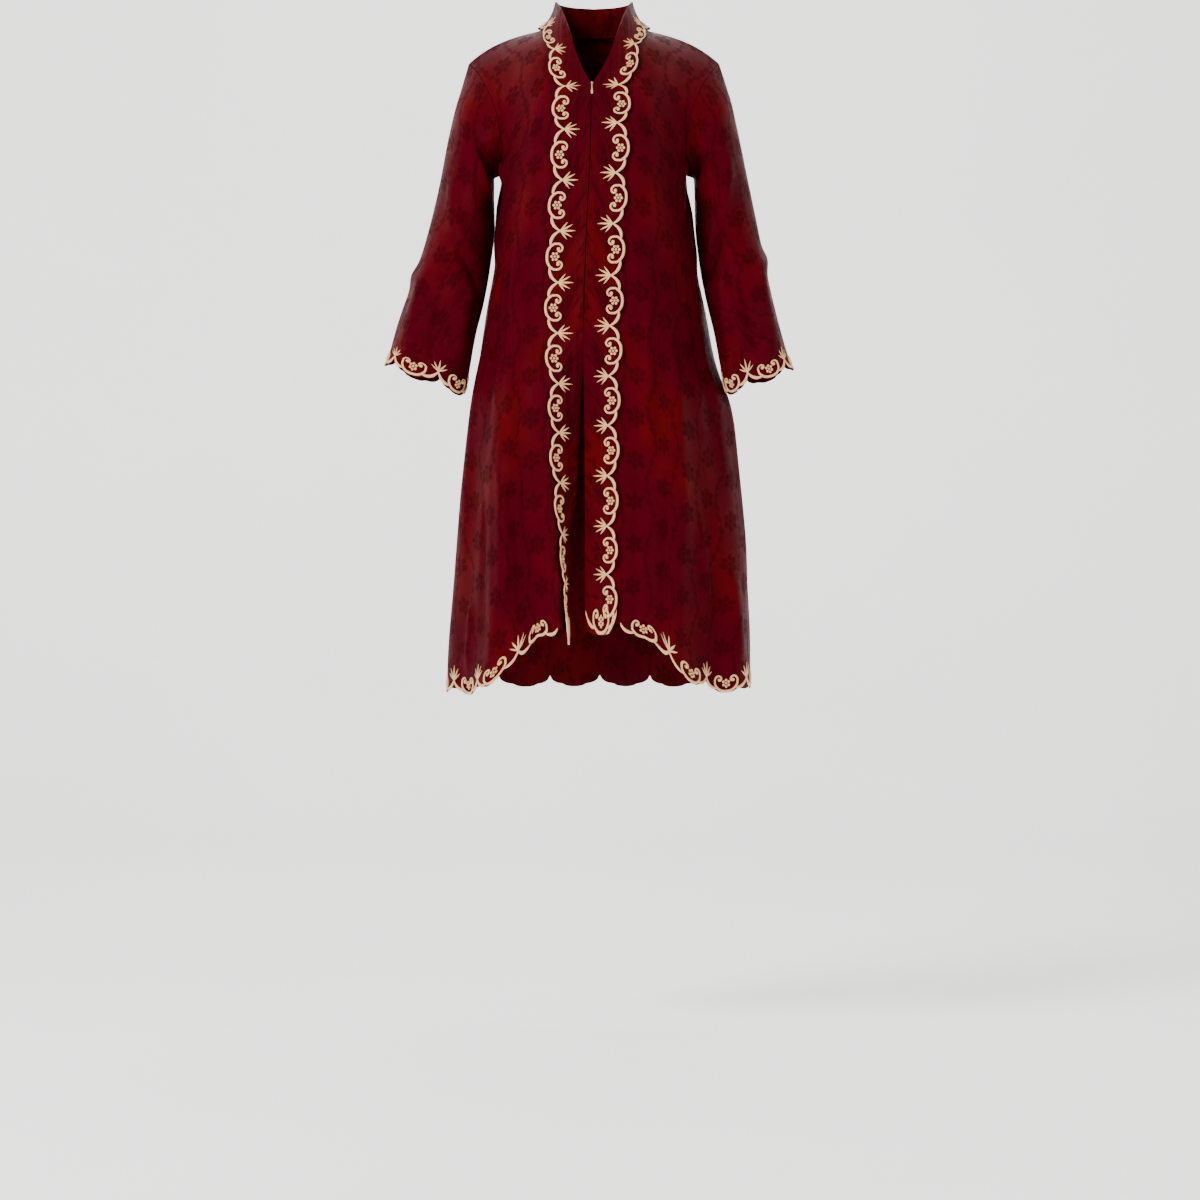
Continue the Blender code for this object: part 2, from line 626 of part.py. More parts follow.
def build_front(panel):
    """One front, from the hem to the shoulder seam and under its band to the front edge."""
    side = ROWS[panel].side
    edge = np.array(BAND_WIDTHS) - 1
    columns = np.array([*edge, -0.18, *FRONT_COLUMNS, ROW_END])
    knots, heights = [h.across for h in FRONT_HEM], [h.left if side == LEFT else h.right for h in FRONT_HEM]
    places = border_places(FRONT_HEM_REPEATS)
    across = places / FRONT_HEM_REPEATS
    hem_across = np.concatenate([columns[: len(edge) + 1], across[:-1], [ROW_END]])
    reach = np.concatenate([np.zeros(len(edge) + 1), scallop(places)])
    hem_z = through(knots, heights, np.clip(hem_across, 0, 1))[:, 0]
    cusp_z = through(knots, heights, np.clip(columns, 0, 1))[:, 0]
    rows = [(hem_across, hem_z - reach), (columns, cusp_z + 0.002)]
    rows += [level_row(columns, level) for level in LEVELS]
    rows.append(level_row(columns, yoke_level(TOP_SHARE)))

    def surface(a, b):
        return front_surface(panel, a, b)

    return wall(panel, [rows], surface, side, JACQUARD)


def build_back():
    """The back, one piece cut on the fold. Its shoulders rise on each side of the neck."""
    half = np.array([*BACK_COLUMNS, ROW_END])
    columns = np.concatenate([-half[::-1], [0.0], half])
    places = border_places(BACK_HEM_REPEATS)
    across = np.clip(places / BACK_HEM_REPEATS * 2 - 1, -ROW_END, ROW_END)
    rows = [(across, BACK_HEM_Z - scallop(places)), level_row(columns, BACK_HEM_Z + 0.002)]
    neck = yoke_level(NECK_SHARE)
    rows += [level_row(columns, level) for level in (-0.91, *LEVELS) if level < neck]
    rows.append(level_row(columns, neck))
    groups = [rows]
    for sign in (-1, 1):
        stack = [level_row(sign * np.array([0.0, *half]), neck)]
        for share in (0.8, 0.85, 0.9, TOP_SHARE):
            stack.append(level_row(sign * np.array([1e-4, *half]), yoke_level(share)))
        groups.append(stack if sign > 0 else [(a[::-1], b[::-1]) for a, b in stack])
    return wall("back", groups, back_surface, -1, JACQUARD)


def build_sleeve(side):
    """One sleeve, a tube from the armhole to the scalloped cuff."""
    around = np.linspace(180, 540, 21)
    under = (1 - np.cos(np.radians(around))) / 2
    rows = [(around, 0.0018 + 0.0125 * under**2)]
    rows += [level_row(around, along) for along in (0.08, 0.18, 0.3, 0.42, 0.54, 0.66, 0.78, 0.9, 0.995)]
    places = border_places(CUFF_REPEATS)
    reach = (SLEEVES[side][-1].along - 1.0) / CUFF_EXTENSION
    rows.append((180 + places / CUFF_REPEATS * 360, 1.0 + scallop(places) * reach))

    def surface(a, b):
        return sleeve_surface(side, a, b)

    name = "sleeve_left" if side == LEFT else "sleeve_right"
    return wall(name, [rows], surface, side, JACQUARD, period=360.0)


def cusp_levels(side):
    """The levels of a front band's cusps."""
    return [c.left if side == LEFT else c.right for c in BAND_CUSPS]


def border_share(place):
    """The scalloped edge's place across the band: 0 at the fold and 1 at a scallop's top."""
    return 1 - (WIDE_DEPTH - scallop(place)) / BAND_WIDTH


def build_band(side):
    """One front band, turned back over its front, from the bottom end to the shoulder seam."""
    places = [c.place for c in BAND_CUSPS]
    top = np.interp(yoke_level(TOP_SHARE), cusp_levels(side), places)
    coarse = np.array([0.0, *np.interp(LEVELS, cusp_levels(side), places), top])
    fine = np.array([p for p in border_places(14) if p < top - 0.03] + [top])

    def surface(a, b):
        drop = BAND_END_DEPTHS[side] * np.sqrt(np.clip(1 - (2 * b - 1) ** 2, 0, 1))
        level = np.interp(a, places, cusp_levels(side)) - drop * np.clip(1 - a / 0.45, 0, 1)
        level = np.where(a > places[-1], SHOULDER_LEVEL + (a - places[-1]) * 0.05, level)
        return band_surface(side, b, level)

    rows = [level_row(coarse, width) for width in BAND_WIDTHS]
    rows.append((fine, border_share(fine)))
    name = "band_left" if side == LEFT else "band_right"
    return wall(name, [rows], surface, -side, JACQUARD)


def build_neck_band():
    """The band behind the neck, from one shoulder seam to the other."""
    steps = [n + step - 0.5 for n in range(-3, 4) for step in BORDER_STEPS]
    inside = [p for p in steps if abs(p) < NECK_REPEATS - 0.03]
    end = 1 - 0.5 * MM / 0.12
    fine = np.clip(np.array([-NECK_REPEATS, *inside, NECK_REPEATS]) / NECK_REPEATS, -end, end)
    coarse = np.linspace(-end, end, 17)
    rows = [level_row(coarse, width) for width in BAND_WIDTHS]
    rows.append((fine, border_share(fine * NECK_REPEATS + 0.5)))
    return wall("neck_band", [rows], neck_band_surface, 1, JACQUARD)


# ---------------------------------------------------------------- the concealed zip

TAPE_WIDTH = 11 * MM
TAPE = 0.7 * MM
TAPE_EDGE = 1.2 * MM  # from the centre line to the tape's edge
SLIDER_Z = -0.1045  # the staple that the pull hangs on
STAPLE_WIDE = 2.3 * MM
STAPLE_BAR = 0.7 * MM
PULL_LENGTH = 17.5 * MM
PULL_REST = 2.5 * MM  # the staple's bar in front of the bands' middle

# The teardrop's width, from its eye (0) down to its tip (1).
PullWidth = namedtuple("PullWidth", "share width")
PULL_WIDTHS = (
    PullWidth(0.15, 1.35 * MM),
    PullWidth(0.40, 1.7 * MM),
    PullWidth(0.60, 2.3 * MM),
    PullWidth(0.75, 3.0 * MM),
    PullWidth(0.87, 3.3 * MM),
    PullWidth(0.95, 2.6 * MM),
    PullWidth(1.00, 1.2 * MM),
)


def build_tape(side):
    """One tape of the zip, behind the front's edge."""
    panel = "front_left" if side == LEFT else "front_right"
    edge, far = TAPE_EDGE / BAND_WIDTH - 1, (TAPE_EDGE + TAPE_WIDTH) / BAND_WIDTH - 1
    columns = [edge, BAND_WIDTHS[1] - 1, far]
    inside = [level for level in LEVELS if ZIP_END - 0.001 < level < V_LEVEL - 0.008]
    rows = [level_row(columns, level) for level in (*inside, V_LEVEL - 0.006)]

    def surface(a, b):
        return front_surface(panel, a, b)

    name = "zip_tape_left" if side == LEFT else "zip_tape_right"
    depth = CLOTH / 2 + TAPE / 2 + 1.5 * SEAM_GAP
    return wall(name, [rows], surface, side, ZIP_TAPE, thickness=TAPE, depth=depth)


def bar_path(points, widths, thickness, across):
    """A solid bar along points: across is its width's direction, and widths its widths there."""
    points, across = np.asarray(points, float), unit(np.asarray(across, float))
    forward = unit(np.gradient(points, axis=0))
    up = unit(np.cross(np.broadcast_to(across, forward.shape), forward))
    rings = []
    for centre, lift, width in zip(points, up, widths):
        side, rise = across * width / 2, lift * thickness / 2
        below, above = centre - rise, centre + rise
        rings.append([below - side, below + side, above + side, above - side])
    faces = []
    for k in range(len(rings) - 1):
        for e in range(4):
            a, b = 4 * k + e, 4 * k + (e + 1) % 4
            faces += [(a, b, b + 4), (a, b + 4, a + 4)]
    last = 4 * (len(rings) - 1)
    faces += [(2, 1, 0), (3, 2, 0), (last, last + 1, last + 2), (last, last + 2, last + 3)]
    return np.vstack(rings), faces


def zip_line(z):
    """x and y of the middle between the two bands' edges, at this height."""
    levels = np.linspace(yoke_level(0.30), yoke_level(0.62), 60)
    edges = [band_surface(side, np.full(60, BAND_WIDTHS[0]), levels) for side in (LEFT, RIGHT)]
    middle = (edges[0] + edges[1]) / 2
    return np.interp(z, middle[:, 2], middle[:, 0]), np.interp(z, middle[:, 2], middle[:, 1])


def zip_axis():
    """The middle of the staple's bar, where the pull hangs."""
    x, y = zip_line(SLIDER_Z)
    return np.array([x, y - PULL_REST, SLIDER_Z])


def chest_slope():
    """The angle from straight down of the chest below the V, where the pull rests."""
    upper, lower = zip_line(SLIDER_Z - 0.3 * PULL_LENGTH)[1], zip_line(SLIDER_Z - PULL_LENGTH)[1]
    return math.atan2(upper - lower, 0.7 * PULL_LENGTH)


def build_slider():
    """The slider, behind the cloth, with the staple that comes forward through the V."""
    axis = zip_axis()
    body_y = axis[1] + 8.6 * MM
    half = STAPLE_WIDE / 2
    staple = [
        (axis[0] - half, body_y, axis[2]),
        (axis[0] - half, axis[1] + 0.25 * MM, axis[2]),
        (axis[0] - half + 0.25 * MM, axis[1], axis[2]),
        (axis[0] + half - 0.25 * MM, axis[1], axis[2]),
        (axis[0] + half, axis[1] + 0.25 * MM, axis[2]),
        (axis[0] + half, body_y, axis[2]),
    ]
    bar = make_object("zip_slider", *bar_path(staple, [STAPLE_BAR] * 6, STAPLE_BAR, (0, 0, 1)), ZIP_METAL)
    outline = [(-2.2, 1.6), (-2.8, 0.6), (-2.3, -7.5), (2.3, -7.5), (2.8, 0.6), (2.2, 1.6)]
    front, behind = body_y - 0.6 * MM, body_y + 2.0 * MM
    points = [(axis[0] + x * MM, y, axis[2] + z * MM) for y in (front, behind) for x, z in outline]
    n = len(outline)
    faces = [tuple(range(n)), tuple(range(2 * n - 1, n - 1, -1))]
    faces += [(k, k + n, (k + 1) % n + n, (k + 1) % n) for k in range(n)]
    body = make_object("slider_body", points, faces, ZIP_METAL)
    union = bar.modifiers.new("join", "BOOLEAN")
    union.operation = "UNION"
    union.solver = "EXACT"
    union.object = body
    joined = bpy.data.meshes.new_from_object(bar.evaluated_get(bpy.context.evaluated_depsgraph_get()))
    bar.modifiers.remove(union)
    bar.data = joined
    bpy.data.objects.remove(body, do_unlink=True)
    return bar


def build_pull():
    """The teardrop pull, its end wrapped round the staple. Its origin is on the staple's bar."""
    axis = zip_axis()
    tilt = chest_slope()
    down = np.array([0, -math.sin(tilt), -math.cos(tilt)])
    ahead = np.array([0, -math.cos(tilt), math.sin(tilt)])
    radius = 1.05 * MM
    points, widths = [], []
    for turn in np.radians(np.linspace(-60, 180, 9)):
        points.append(ahead * radius * math.cos(turn) - down * radius * math.sin(turn))
        widths.append(1.3 * MM)
    # The plate hangs from the side of the wrap that is nearer the cloth.
    for row in PULL_WIDTHS:
        points.append(-ahead * radius + down * row.share * PULL_LENGTH)
        widths.append(row.width)
    solid, faces = bar_path(points, widths, 0.8 * MM, (1, 0, 0))
    obj = make_object("zip_pull", solid, faces, ZIP_METAL)
    obj.location = Vector(axis)
    return obj


def main():
    """Builds the blouse in an empty scene."""
    for obj in list(bpy.data.objects):
        bpy.data.objects.remove(obj, do_unlink=True)
    for side in (LEFT, RIGHT):
        build_front("front_left" if side == LEFT else "front_right")
        build_sleeve(side)
        build_band(side)
        build_tape(side)
    build_back()
    build_neck_band()
    build_slider()
    build_pull()


main()
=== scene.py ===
"""A long crimson kebaya blouse, hanging as it is worn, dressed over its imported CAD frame.

Metres, +Z up. The front faces -Y and the wearer's left is +X. Every sheet of cloth is a thin shell on
its own smooth surface, with creases of its own. The surfaces are stacks of rows, named by their
level: below the armpit that is the height, and above it the level goes on up to the shoulder seam.
"""

import json
import logging
import math
from dataclasses import astuple, dataclass, field
from enum import Enum
from functools import partial
from typing import Any, Callable, Sequence

import bpy
import numpy as np
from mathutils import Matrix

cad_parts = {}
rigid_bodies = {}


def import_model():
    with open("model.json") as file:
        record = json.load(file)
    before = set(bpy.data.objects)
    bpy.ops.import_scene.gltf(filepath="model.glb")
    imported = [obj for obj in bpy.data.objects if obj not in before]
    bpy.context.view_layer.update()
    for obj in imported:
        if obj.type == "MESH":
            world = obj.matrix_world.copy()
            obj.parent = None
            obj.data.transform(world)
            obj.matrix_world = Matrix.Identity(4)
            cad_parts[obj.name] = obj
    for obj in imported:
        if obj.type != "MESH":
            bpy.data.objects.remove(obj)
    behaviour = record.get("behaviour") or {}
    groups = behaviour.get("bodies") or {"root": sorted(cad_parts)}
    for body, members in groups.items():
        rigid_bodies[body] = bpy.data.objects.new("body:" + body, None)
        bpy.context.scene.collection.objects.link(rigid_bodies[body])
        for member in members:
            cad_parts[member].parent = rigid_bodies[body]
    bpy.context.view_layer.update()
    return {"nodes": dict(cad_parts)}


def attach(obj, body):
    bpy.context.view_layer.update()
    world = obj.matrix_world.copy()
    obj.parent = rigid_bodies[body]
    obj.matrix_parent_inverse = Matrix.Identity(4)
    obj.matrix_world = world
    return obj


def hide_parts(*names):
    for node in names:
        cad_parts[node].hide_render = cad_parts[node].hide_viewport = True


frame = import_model()

Array = np.ndarray
Surface = Callable[[Array, Array], Array]
Point = tuple[float, float, float]

MM = 0.001
CLOTH = 1.0 * MM
SEAM_GAP = 0.3 * MM
ARMPIT_LEVEL = -225 * MM
SHOULDER_LEVEL = 0.0
V_LEVEL = -112 * MM
ZIP_END = -458 * MM
BAND_WIDTH = 58 * MM
BAND_LIFT = 1.6 * MM
BAND_LOOSE = 2.6 * MM
BAND_CURL = 0.25
BACK_HEM_Z = -0.977
SLEEVE_LENGTH = 0.53
SHOULDER_PLACE = 13.5
NECK_BAND_HALF = 0.12
EDGE_INSET = 0.5 * MM
CUFF_EXTENSION = 27 * MM
FOLD_FULL = -0.97
TOP_SHARE = 1 - 2.2 * SEAM_GAP / (SHOULDER_LEVEL - ARMPIT_LEVEL)
ROW_END = 1 - SEAM_GAP / 0.22
NECK_SHARE = 0.78

log = logging.getLogger("kebaya")


class Side(Enum):
    """The wearer's sides, with the sign of X on each."""

    LEFT = 1
    RIGHT = -1


class Panel(Enum):
    """The panels of the body, by the names of their CAD nodes."""

    FRONT_LEFT = "front_left"
    FRONT_RIGHT = "front_right"
    BACK = "back"


# ---------------------------------------------------------------- the garment's measurements


@dataclass(frozen=True)
class Section:
    """A level section of the body: half width, depths in front and behind, and its lean to the left."""

    z: float
    side: float
    front: float
    back: float
    lean: float


SECTIONS = (
    Section(-1.060, 0.226, 0.157, 0.163, 0.008),
    Section(-0.940, 0.225, 0.154, 0.159, 0.009),
    Section(-0.840, 0.220, 0.150, 0.154, 0.010),
    Section(-0.740, 0.212, 0.145, 0.147, 0.010),
    Section(-0.660, 0.204, 0.141, 0.139, 0.010),
    Section(-0.580, 0.195, 0.136, 0.127, 0.010),
    Section(-0.500, 0.1755, 0.133, 0.113, 0.0045),
    Section(-0.430, 0.1635, 0.134, 0.105, 0.003),
    Section(-0.360, 0.1500, 0.138, 0.107, 0.002),
    Section(-0.300, 0.143, 0.139, 0.113, 0.001),
    Section(-0.225, 0.138, 0.133, 0.118, 0.0),
)


@dataclass(frozen=True)
class Opening:
    """The front opening at a height: the bands' outer edges, and how far each front edge rolls in."""

    z: float
    left_edge: float
    right_edge: float
    left_roll: float
    right_roll: float


OPENING = (
    Opening(-1.060, 0.0385, -0.0500, 34, 86),
    Opening(-0.900, 0.0385, -0.0520, 34, 86),
    Opening(-0.830, 0.0385, -0.0580, 33, 77),
    Opening(-0.770, 0.0390, -0.0610, 32, 70),
    Opening(-0.700, 0.0400, -0.0690, 29, 50),
    Opening(-0.640, 0.0405, -0.0705, 26, 41),
    Opening(-0.560, 0.0415, -0.0715, 20, 30),
    Opening(-0.458, 0.0430, -0.0730, 0, 0),
    Opening(-0.350, 0.0460, -0.0700, 0, 0),
    Opening(-0.225, 0.0520, -0.0640, 0, 0),
)


@dataclass(frozen=True)
class YokeRow:
    """A row above the armpits: its ends, its directions there, its handles' lengths and its lean."""

    level: float
    start: Point
    end: Point
    leave: Point
    arrive: Point
    pull: tuple[float, float]
    lean: float


FRONT_YOKE = (
    YokeRow(
        0.25, (0.0580, -0.1280, -0.168), (0.1370, -0.0500, -0.197),
        (1, 0.06, 0), (0.32, 0.95, 0), (0.34, 0.40), -0.0045,
    ),
    YokeRow(
        0.50, (0.0582, -0.1150, -0.110), (0.1410, -0.0650, -0.156),
        (1, 0.08, -0.06), (0.70, 0.70, 0), (0.33, 0.34), -0.0030,
    ),
    YokeRow(
        0.65, (0.0655, -0.0960, -0.071), (0.1490, -0.0620, -0.126),
        (1, 0.12, -0.18), (0.85, 0.50, -0.15), (0.33, 0.33), -0.0015,
    ),
    YokeRow(
        0.80, (0.0720, -0.0650, -0.036), (0.1620, -0.0480, -0.096),
        (1, 0.08, -0.26), (0.90, 0.20, -0.35), (0.33, 0.33), 0.0,
    ),
    YokeRow(
        0.91, (0.0780, -0.0300, -0.018), (0.1755, -0.0270, -0.073),
        (1, 0.03, -0.28), (0.85, 0.05, -0.52), (0.33, 0.33), 0.0,
    ),
    YokeRow(
        1.00, (0.0830, 0.0045, -0.0085), (0.1870, 0.0000, -0.057),
        (1, 0.00, -0.22), (0.74, 0.00, -0.67), (0.40, 0.36), 0.0,
    ),
)
BACK_YOKE = (
    YokeRow(
        0.25, (0.0, 0.1180, -0.160), (0.1400, 0.0430, -0.195),
        (1, 0, 0), (0.34, -0.94, 0), (0.36, 0.42), 0.0,
    ),
    YokeRow(
        0.50, (0.0, 0.1110, -0.090), (0.1470, 0.0540, -0.152),
        (1, 0, 0), (0.70, -0.70, 0), (0.34, 0.36), 0.0,
    ),
    YokeRow(
        0.65, (0.0, 0.1000, -0.045), (0.1560, 0.0500, -0.122),
        (1, 0, -0.04), (0.84, -0.50, -0.15), (0.33, 0.34), 0.0,
    ),
    YokeRow(
        0.78, (0.0, 0.0830, -0.007), (0.1655, 0.0410, -0.096),
        (1, -0.02, -0.10), (0.90, -0.25, -0.32), (0.33, 0.33), 0.0,
    ),
    YokeRow(
        0.90, (0.0500, 0.0560, -0.004), (0.1770, 0.0230, -0.073),
        (1, -0.05, -0.24), (0.85, -0.06, -0.50), (0.33, 0.33), 0.0,
    ),
    YokeRow(
        1.00, (0.0690, 0.0045, -0.0050), (0.1870, 0.0000, -0.057),
        (1, 0.00, -0.22), (0.74, 0.00, -0.67), (0.40, 0.32), 0.0,
    ),
)


@dataclass(frozen=True)
class NeckRow:
    """A row from the neck edge out to the ridge line. level goes on past 1 behind the neck."""

    level: float
    inner: Point
    middle: Point
    outer: Point


NECK_ROWS = (
    NeckRow(0.50, (0.0006, -0.1190, -0.108), (0.0295, -0.1180, -0.109), FRONT_YOKE[1].start),
    NeckRow(0.65, (0.0205, -0.1060, -0.068), (0.0435, -0.1040, -0.069), FRONT_YOKE[2].start),
    NeckRow(0.80, (0.0360, -0.0850, -0.019), (0.0550, -0.0760, -0.031), FRONT_YOKE[3].start),
    NeckRow(0.91, (0.0480, -0.0500, 0.0160), (0.0620, -0.0420, -0.005), FRONT_YOKE[4].start),
    NeckRow(1.00, (0.0560, -0.0030, 0.0350), (0.0665, 0.0020, 0.006), FRONT_YOKE[5].start),
    NeckRow(1.12, (0.0520, 0.0280, 0.0370), (0.0615, 0.0330, 0.008), (0.0780, 0.0400, -0.0095)),
    NeckRow(1.25, (0.0300, 0.0580, 0.0370), (0.0350, 0.0670, 0.006), (0.0450, 0.0820, -0.0180)),
    NeckRow(1.36, (0.0, 0.0690, 0.0370), (0.0, 0.0800, 0.002), (0.0, 0.0960, -0.0280)),
)


@dataclass(frozen=True)
class Cusp:
    """A cusp of the front bands' border: its place from the bottom, and its level on each band."""

    place: float
    left: float
    right: float


BAND_CUSPS = (
    Cusp(0, -0.897, -0.905),
    Cusp(1, -0.825, -0.8385),
    Cusp(2, -0.7545, -0.7665),
    Cusp(3, -0.681, -0.6915),
    Cusp(4, -0.6075, -0.618),
    Cusp(5, -0.535, -0.546),
    Cusp(6, -0.462, -0.4725),
    Cusp(7, -0.3885, -0.399),
    Cusp(8, -0.3135, -0.324),
    Cusp(9, -0.239, -0.250),
    Cusp(10, -0.166, -0.1755),
    Cusp(11, -0.1125, -0.1155),
    Cusp(12, -0.0555, -0.064),
    Cusp(SHOULDER_PLACE, 0.0, 0.0),
)


@dataclass(frozen=True)
class Hem:
    """A point of the front hems, from the ridge line (0) to the side seam (1)."""

    across: float
    left: float
    right: float


FRONT_HEM = (
    Hem(0.00, -0.897, -0.905),
    Hem(0.12, -0.899, -0.897),
    Hem(0.18, -0.912, -0.914),
    Hem(0.24, -0.935, -0.935),
    Hem(0.33, -0.958, -0.952),
    Hem(0.44, -0.971, -0.975),
    Hem(0.58, -0.980, -0.983),
    Hem(0.80, -0.976, -0.982),
    Hem(1.00, -0.974, -0.978),
)


@dataclass(frozen=True)
class Fold:
    """A large hanging fold: its places at its top and at the hem, width, height and top level."""

    panel: Panel
    top_across: float
    hem_across: float
    width: float
    height: float
    start: float


FOLDS = (
    Fold(Panel.FRONT_RIGHT, 0.22, 0.17, 0.085, -0.017, -0.42),
    Fold(Panel.FRONT_RIGHT, 0.40, 0.40, 0.095, 0.010, -0.36),
    Fold(Panel.FRONT_RIGHT, 0.60, 0.63, 0.080, -0.008, -0.50),
    Fold(Panel.FRONT_RIGHT, 0.78, 0.82, 0.080, 0.006, -0.45),
    Fold(Panel.FRONT_LEFT, 0.10, 0.10, 0.070, -0.006, -0.50),
    Fold(Panel.FRONT_LEFT, 0.26, 0.29, 0.095, 0.011, -0.38),
    Fold(Panel.FRONT_LEFT, 0.48, 0.53, 0.090, -0.014, -0.44),
    Fold(Panel.FRONT_LEFT, 0.72, 0.76, 0.080, 0.007, -0.48),
    Fold(Panel.BACK, -0.76, -0.80, 0.080, -0.009, -0.46),
    Fold(Panel.BACK, -0.50, -0.56, 0.090, 0.012, -0.40),
    Fold(Panel.BACK, -0.26, -0.31, 0.080, -0.012, -0.44),
    Fold(Panel.BACK, 0.02, 0.03, 0.090, 0.010, -0.36),
    Fold(Panel.BACK, 0.28, 0.33, 0.080, -0.011, -0.42),
    Fold(Panel.BACK, 0.52, 0.58, 0.090, 0.011, -0.38),
    Fold(Panel.BACK, 0.76, 0.80, 0.080, -0.008, -0.48),
)


@dataclass(frozen=True)
class Ring:
    """A ring of a sleeve: its highest and lowest points from the front, its middle's y, half depth."""

    along: float
    outer: tuple[float, float]
    inner: tuple[float, float]
    middle_y: float
    half_depth: float


SLEEVE_RINGS = {
    Side.LEFT: (
        Ring(0.12, (0.2025, -0.106), (0.1500, -0.2310), -0.001, 0.0620),
        Ring(0.26, (0.2135, -0.152), (0.1510, -0.2560), -0.003, 0.0600),
        Ring(0.42, (0.2285, -0.225), (0.1520, -0.3020), -0.005, 0.0560),
        Ring(0.58, (0.2440, -0.302), (0.1590, -0.3660), -0.014, 0.0510),
        Ring(0.72, (0.2565, -0.370), (0.1680, -0.4160), -0.028, 0.0480),
        Ring(0.86, (0.2700, -0.434), (0.1790, -0.4650), -0.044, 0.0470),
        Ring(1.00, (0.2890, -0.505), (0.1925, -0.5410), -0.060, 0.0470),
        Ring(1.10, (0.2985, -0.529), (0.1990, -0.5670), -0.066, 0.0470),
    ),
    Side.RIGHT: (
        Ring(0.12, (0.2025, -0.110), (0.1500, -0.2310), -0.001, 0.0620),
        Ring(0.26, (0.2165, -0.165), (0.1500, -0.2560), -0.003, 0.0600),
        Ring(0.42, (0.2330, -0.250), (0.1490, -0.3020), -0.005, 0.0560),
        Ring(0.58, (0.2530, -0.330), (0.1560, -0.3660), -0.010, 0.0510),
        Ring(0.72, (0.2740, -0.395), (0.1650, -0.4180), -0.018, 0.0480),
        Ring(0.86, (0.2930, -0.452), (0.1770, -0.4680), -0.027, 0.0470),
        Ring(1.00, (0.3050, -0.497), (0.1895, -0.5410), -0.036, 0.0470),
        Ring(1.10, (0.3140, -0.521), (0.1955, -0.5670), -0.040, 0.0470),
    ),
}
BAND_END_DEPTHS = {Side.LEFT: 17 * MM, Side.RIGHT: 24 * MM}


@dataclass(frozen=True)
class Scallops:
    """The scalloped border. One repeat is a sprig, a short scallop, a wide scallop and a short one."""

    repeat: float = 73.5 * MM
    small_span: float = 21.0 * MM
    small_depth: float = 14.2 * MM
    wide_depth: float = 18.7 * MM

    def reach(self, place: Array) -> Array:
        """How far the border goes beyond its cusps.

        Args:
            place: Places along the border, in repeats.

        Returns:
            The reach at each place, in metres.
        """
        from_cusp = np.abs(np.mod(place + 0.5, 1.0) - 0.5) * self.repeat
        near = 1 - np.clip(from_cusp / self.small_span, 0, 1)
        small = self.small_depth * np.sqrt(np.clip(1 - near**2, 0, 1))
        half = self.repeat / 2 - self.small_span
        round_top = np.sqrt(np.clip(1 - ((self.repeat / 2 - from_cusp) / half) ** 2, 0, 1))
        wide = self.small_depth + (self.wide_depth - self.small_depth) * round_top
        return np.where(from_cusp < self.small_span, small, wide)


SCALLOPS = Scallops()

# ---------------------------------------------------------------- curves


def slopes_at(knots: Array, values: Array) -> Array:
    """Slopes at the knots for a smooth curve that never overshoots its values.

    Args:
        knots: The knots, rising.
        values: One row of values per knot.

    Returns:
        One row of slopes per knot.
    """
    steps = np.diff(knots).reshape(-1, *[1] * (values.ndim - 1))
    rise = np.diff(values, axis=0) / steps
    before, after = rise[:-1], rise[1:]
    w1, w2 = 2 * steps[1:] + steps[:-1], steps[1:] + 2 * steps[:-1]
    same = before * after > 0
    safe_before, safe_after = np.where(same, before, 1.0), np.where(same, after, 1.0)
    middle = np.where(same, (w1 + w2) / (w1 / safe_before + w2 / safe_after), 0.0)
    return np.concatenate([rise[:1], middle, rise[-1:]])


def through(knots: Sequence[float], values: Any, at: Any) -> Array:
    """A smooth curve through the values at the knots.

    Args:
        knots: The knots, rising.
        values: One row per knot, or one row per knot and number of at.
        at: The numbers at which the curve is read.

    Returns:
        One row per number of at.
    """
    knots, values = np.asarray(knots, float), np.asarray(values, float)
    at = np.atleast_1d(np.asarray(at, float))
    if values.ndim < 3:
        values = values.reshape(len(knots), 1, -1)
    slopes = slopes_at(knots, values)
    i = np.clip(np.searchsorted(knots, at) - 1, 0, len(knots) - 2)
    n = np.arange(len(at)) if values.shape[1] > 1 else np.zeros(len(at), int)
    step = (knots[i + 1] - knots[i])[:, None]
    u = (at - knots[i])[:, None] / step
    u2, u3 = u * u, u * u * u
    return (
        (2 * u3 - 3 * u2 + 1) * values[i, n]
        + (u3 - 2 * u2 + u) * step * slopes[i, n]
        + (3 * u2 - 2 * u3) * values[i + 1, n]
        + (u3 - u2) * step * slopes[i + 1, n]
    )


def smooth(x: Any) -> Array:
    """0 below 0 and 1 above 1, with an easy change between."""
    x = np.clip(x, 0.0, 1.0)
    return x * x * (3 - 2 * x)


def unit(v: Array) -> Array:
    """The vectors, each with a length of 1."""
    return v / np.maximum(np.linalg.norm(v, axis=-1, keepdims=True), 1e-12)


def yoke_level(share: Any) -> Any:
    """The level of a yoke row: share is 0 at the armpit and 1 at the shoulder seam."""
    return ARMPIT_LEVEL + share * (SHOULDER_LEVEL - ARMPIT_LEVEL)


def normals_of(surface: Surface, a: Array, b: Array, turn: int) -> Array:
    """Outward normals of a surface.

    Args:
        surface: The surface.
        a: First numbers of the points.
        b: Second numbers of the points.
        turn: 1 where a's direction crossed with b's points out, or else -1.

    Returns:
        One unit vector per point.
    """
    small = 1e-4
    along_a = surface(a + small, b) - surface(a - small, b)
    along_b = surface(a, b + small) - surface(a, b - small)
    return unit(np.cross(unit(along_a), unit(along_b))) * turn


# ---------------------------------------------------------------- the smooth surfaces


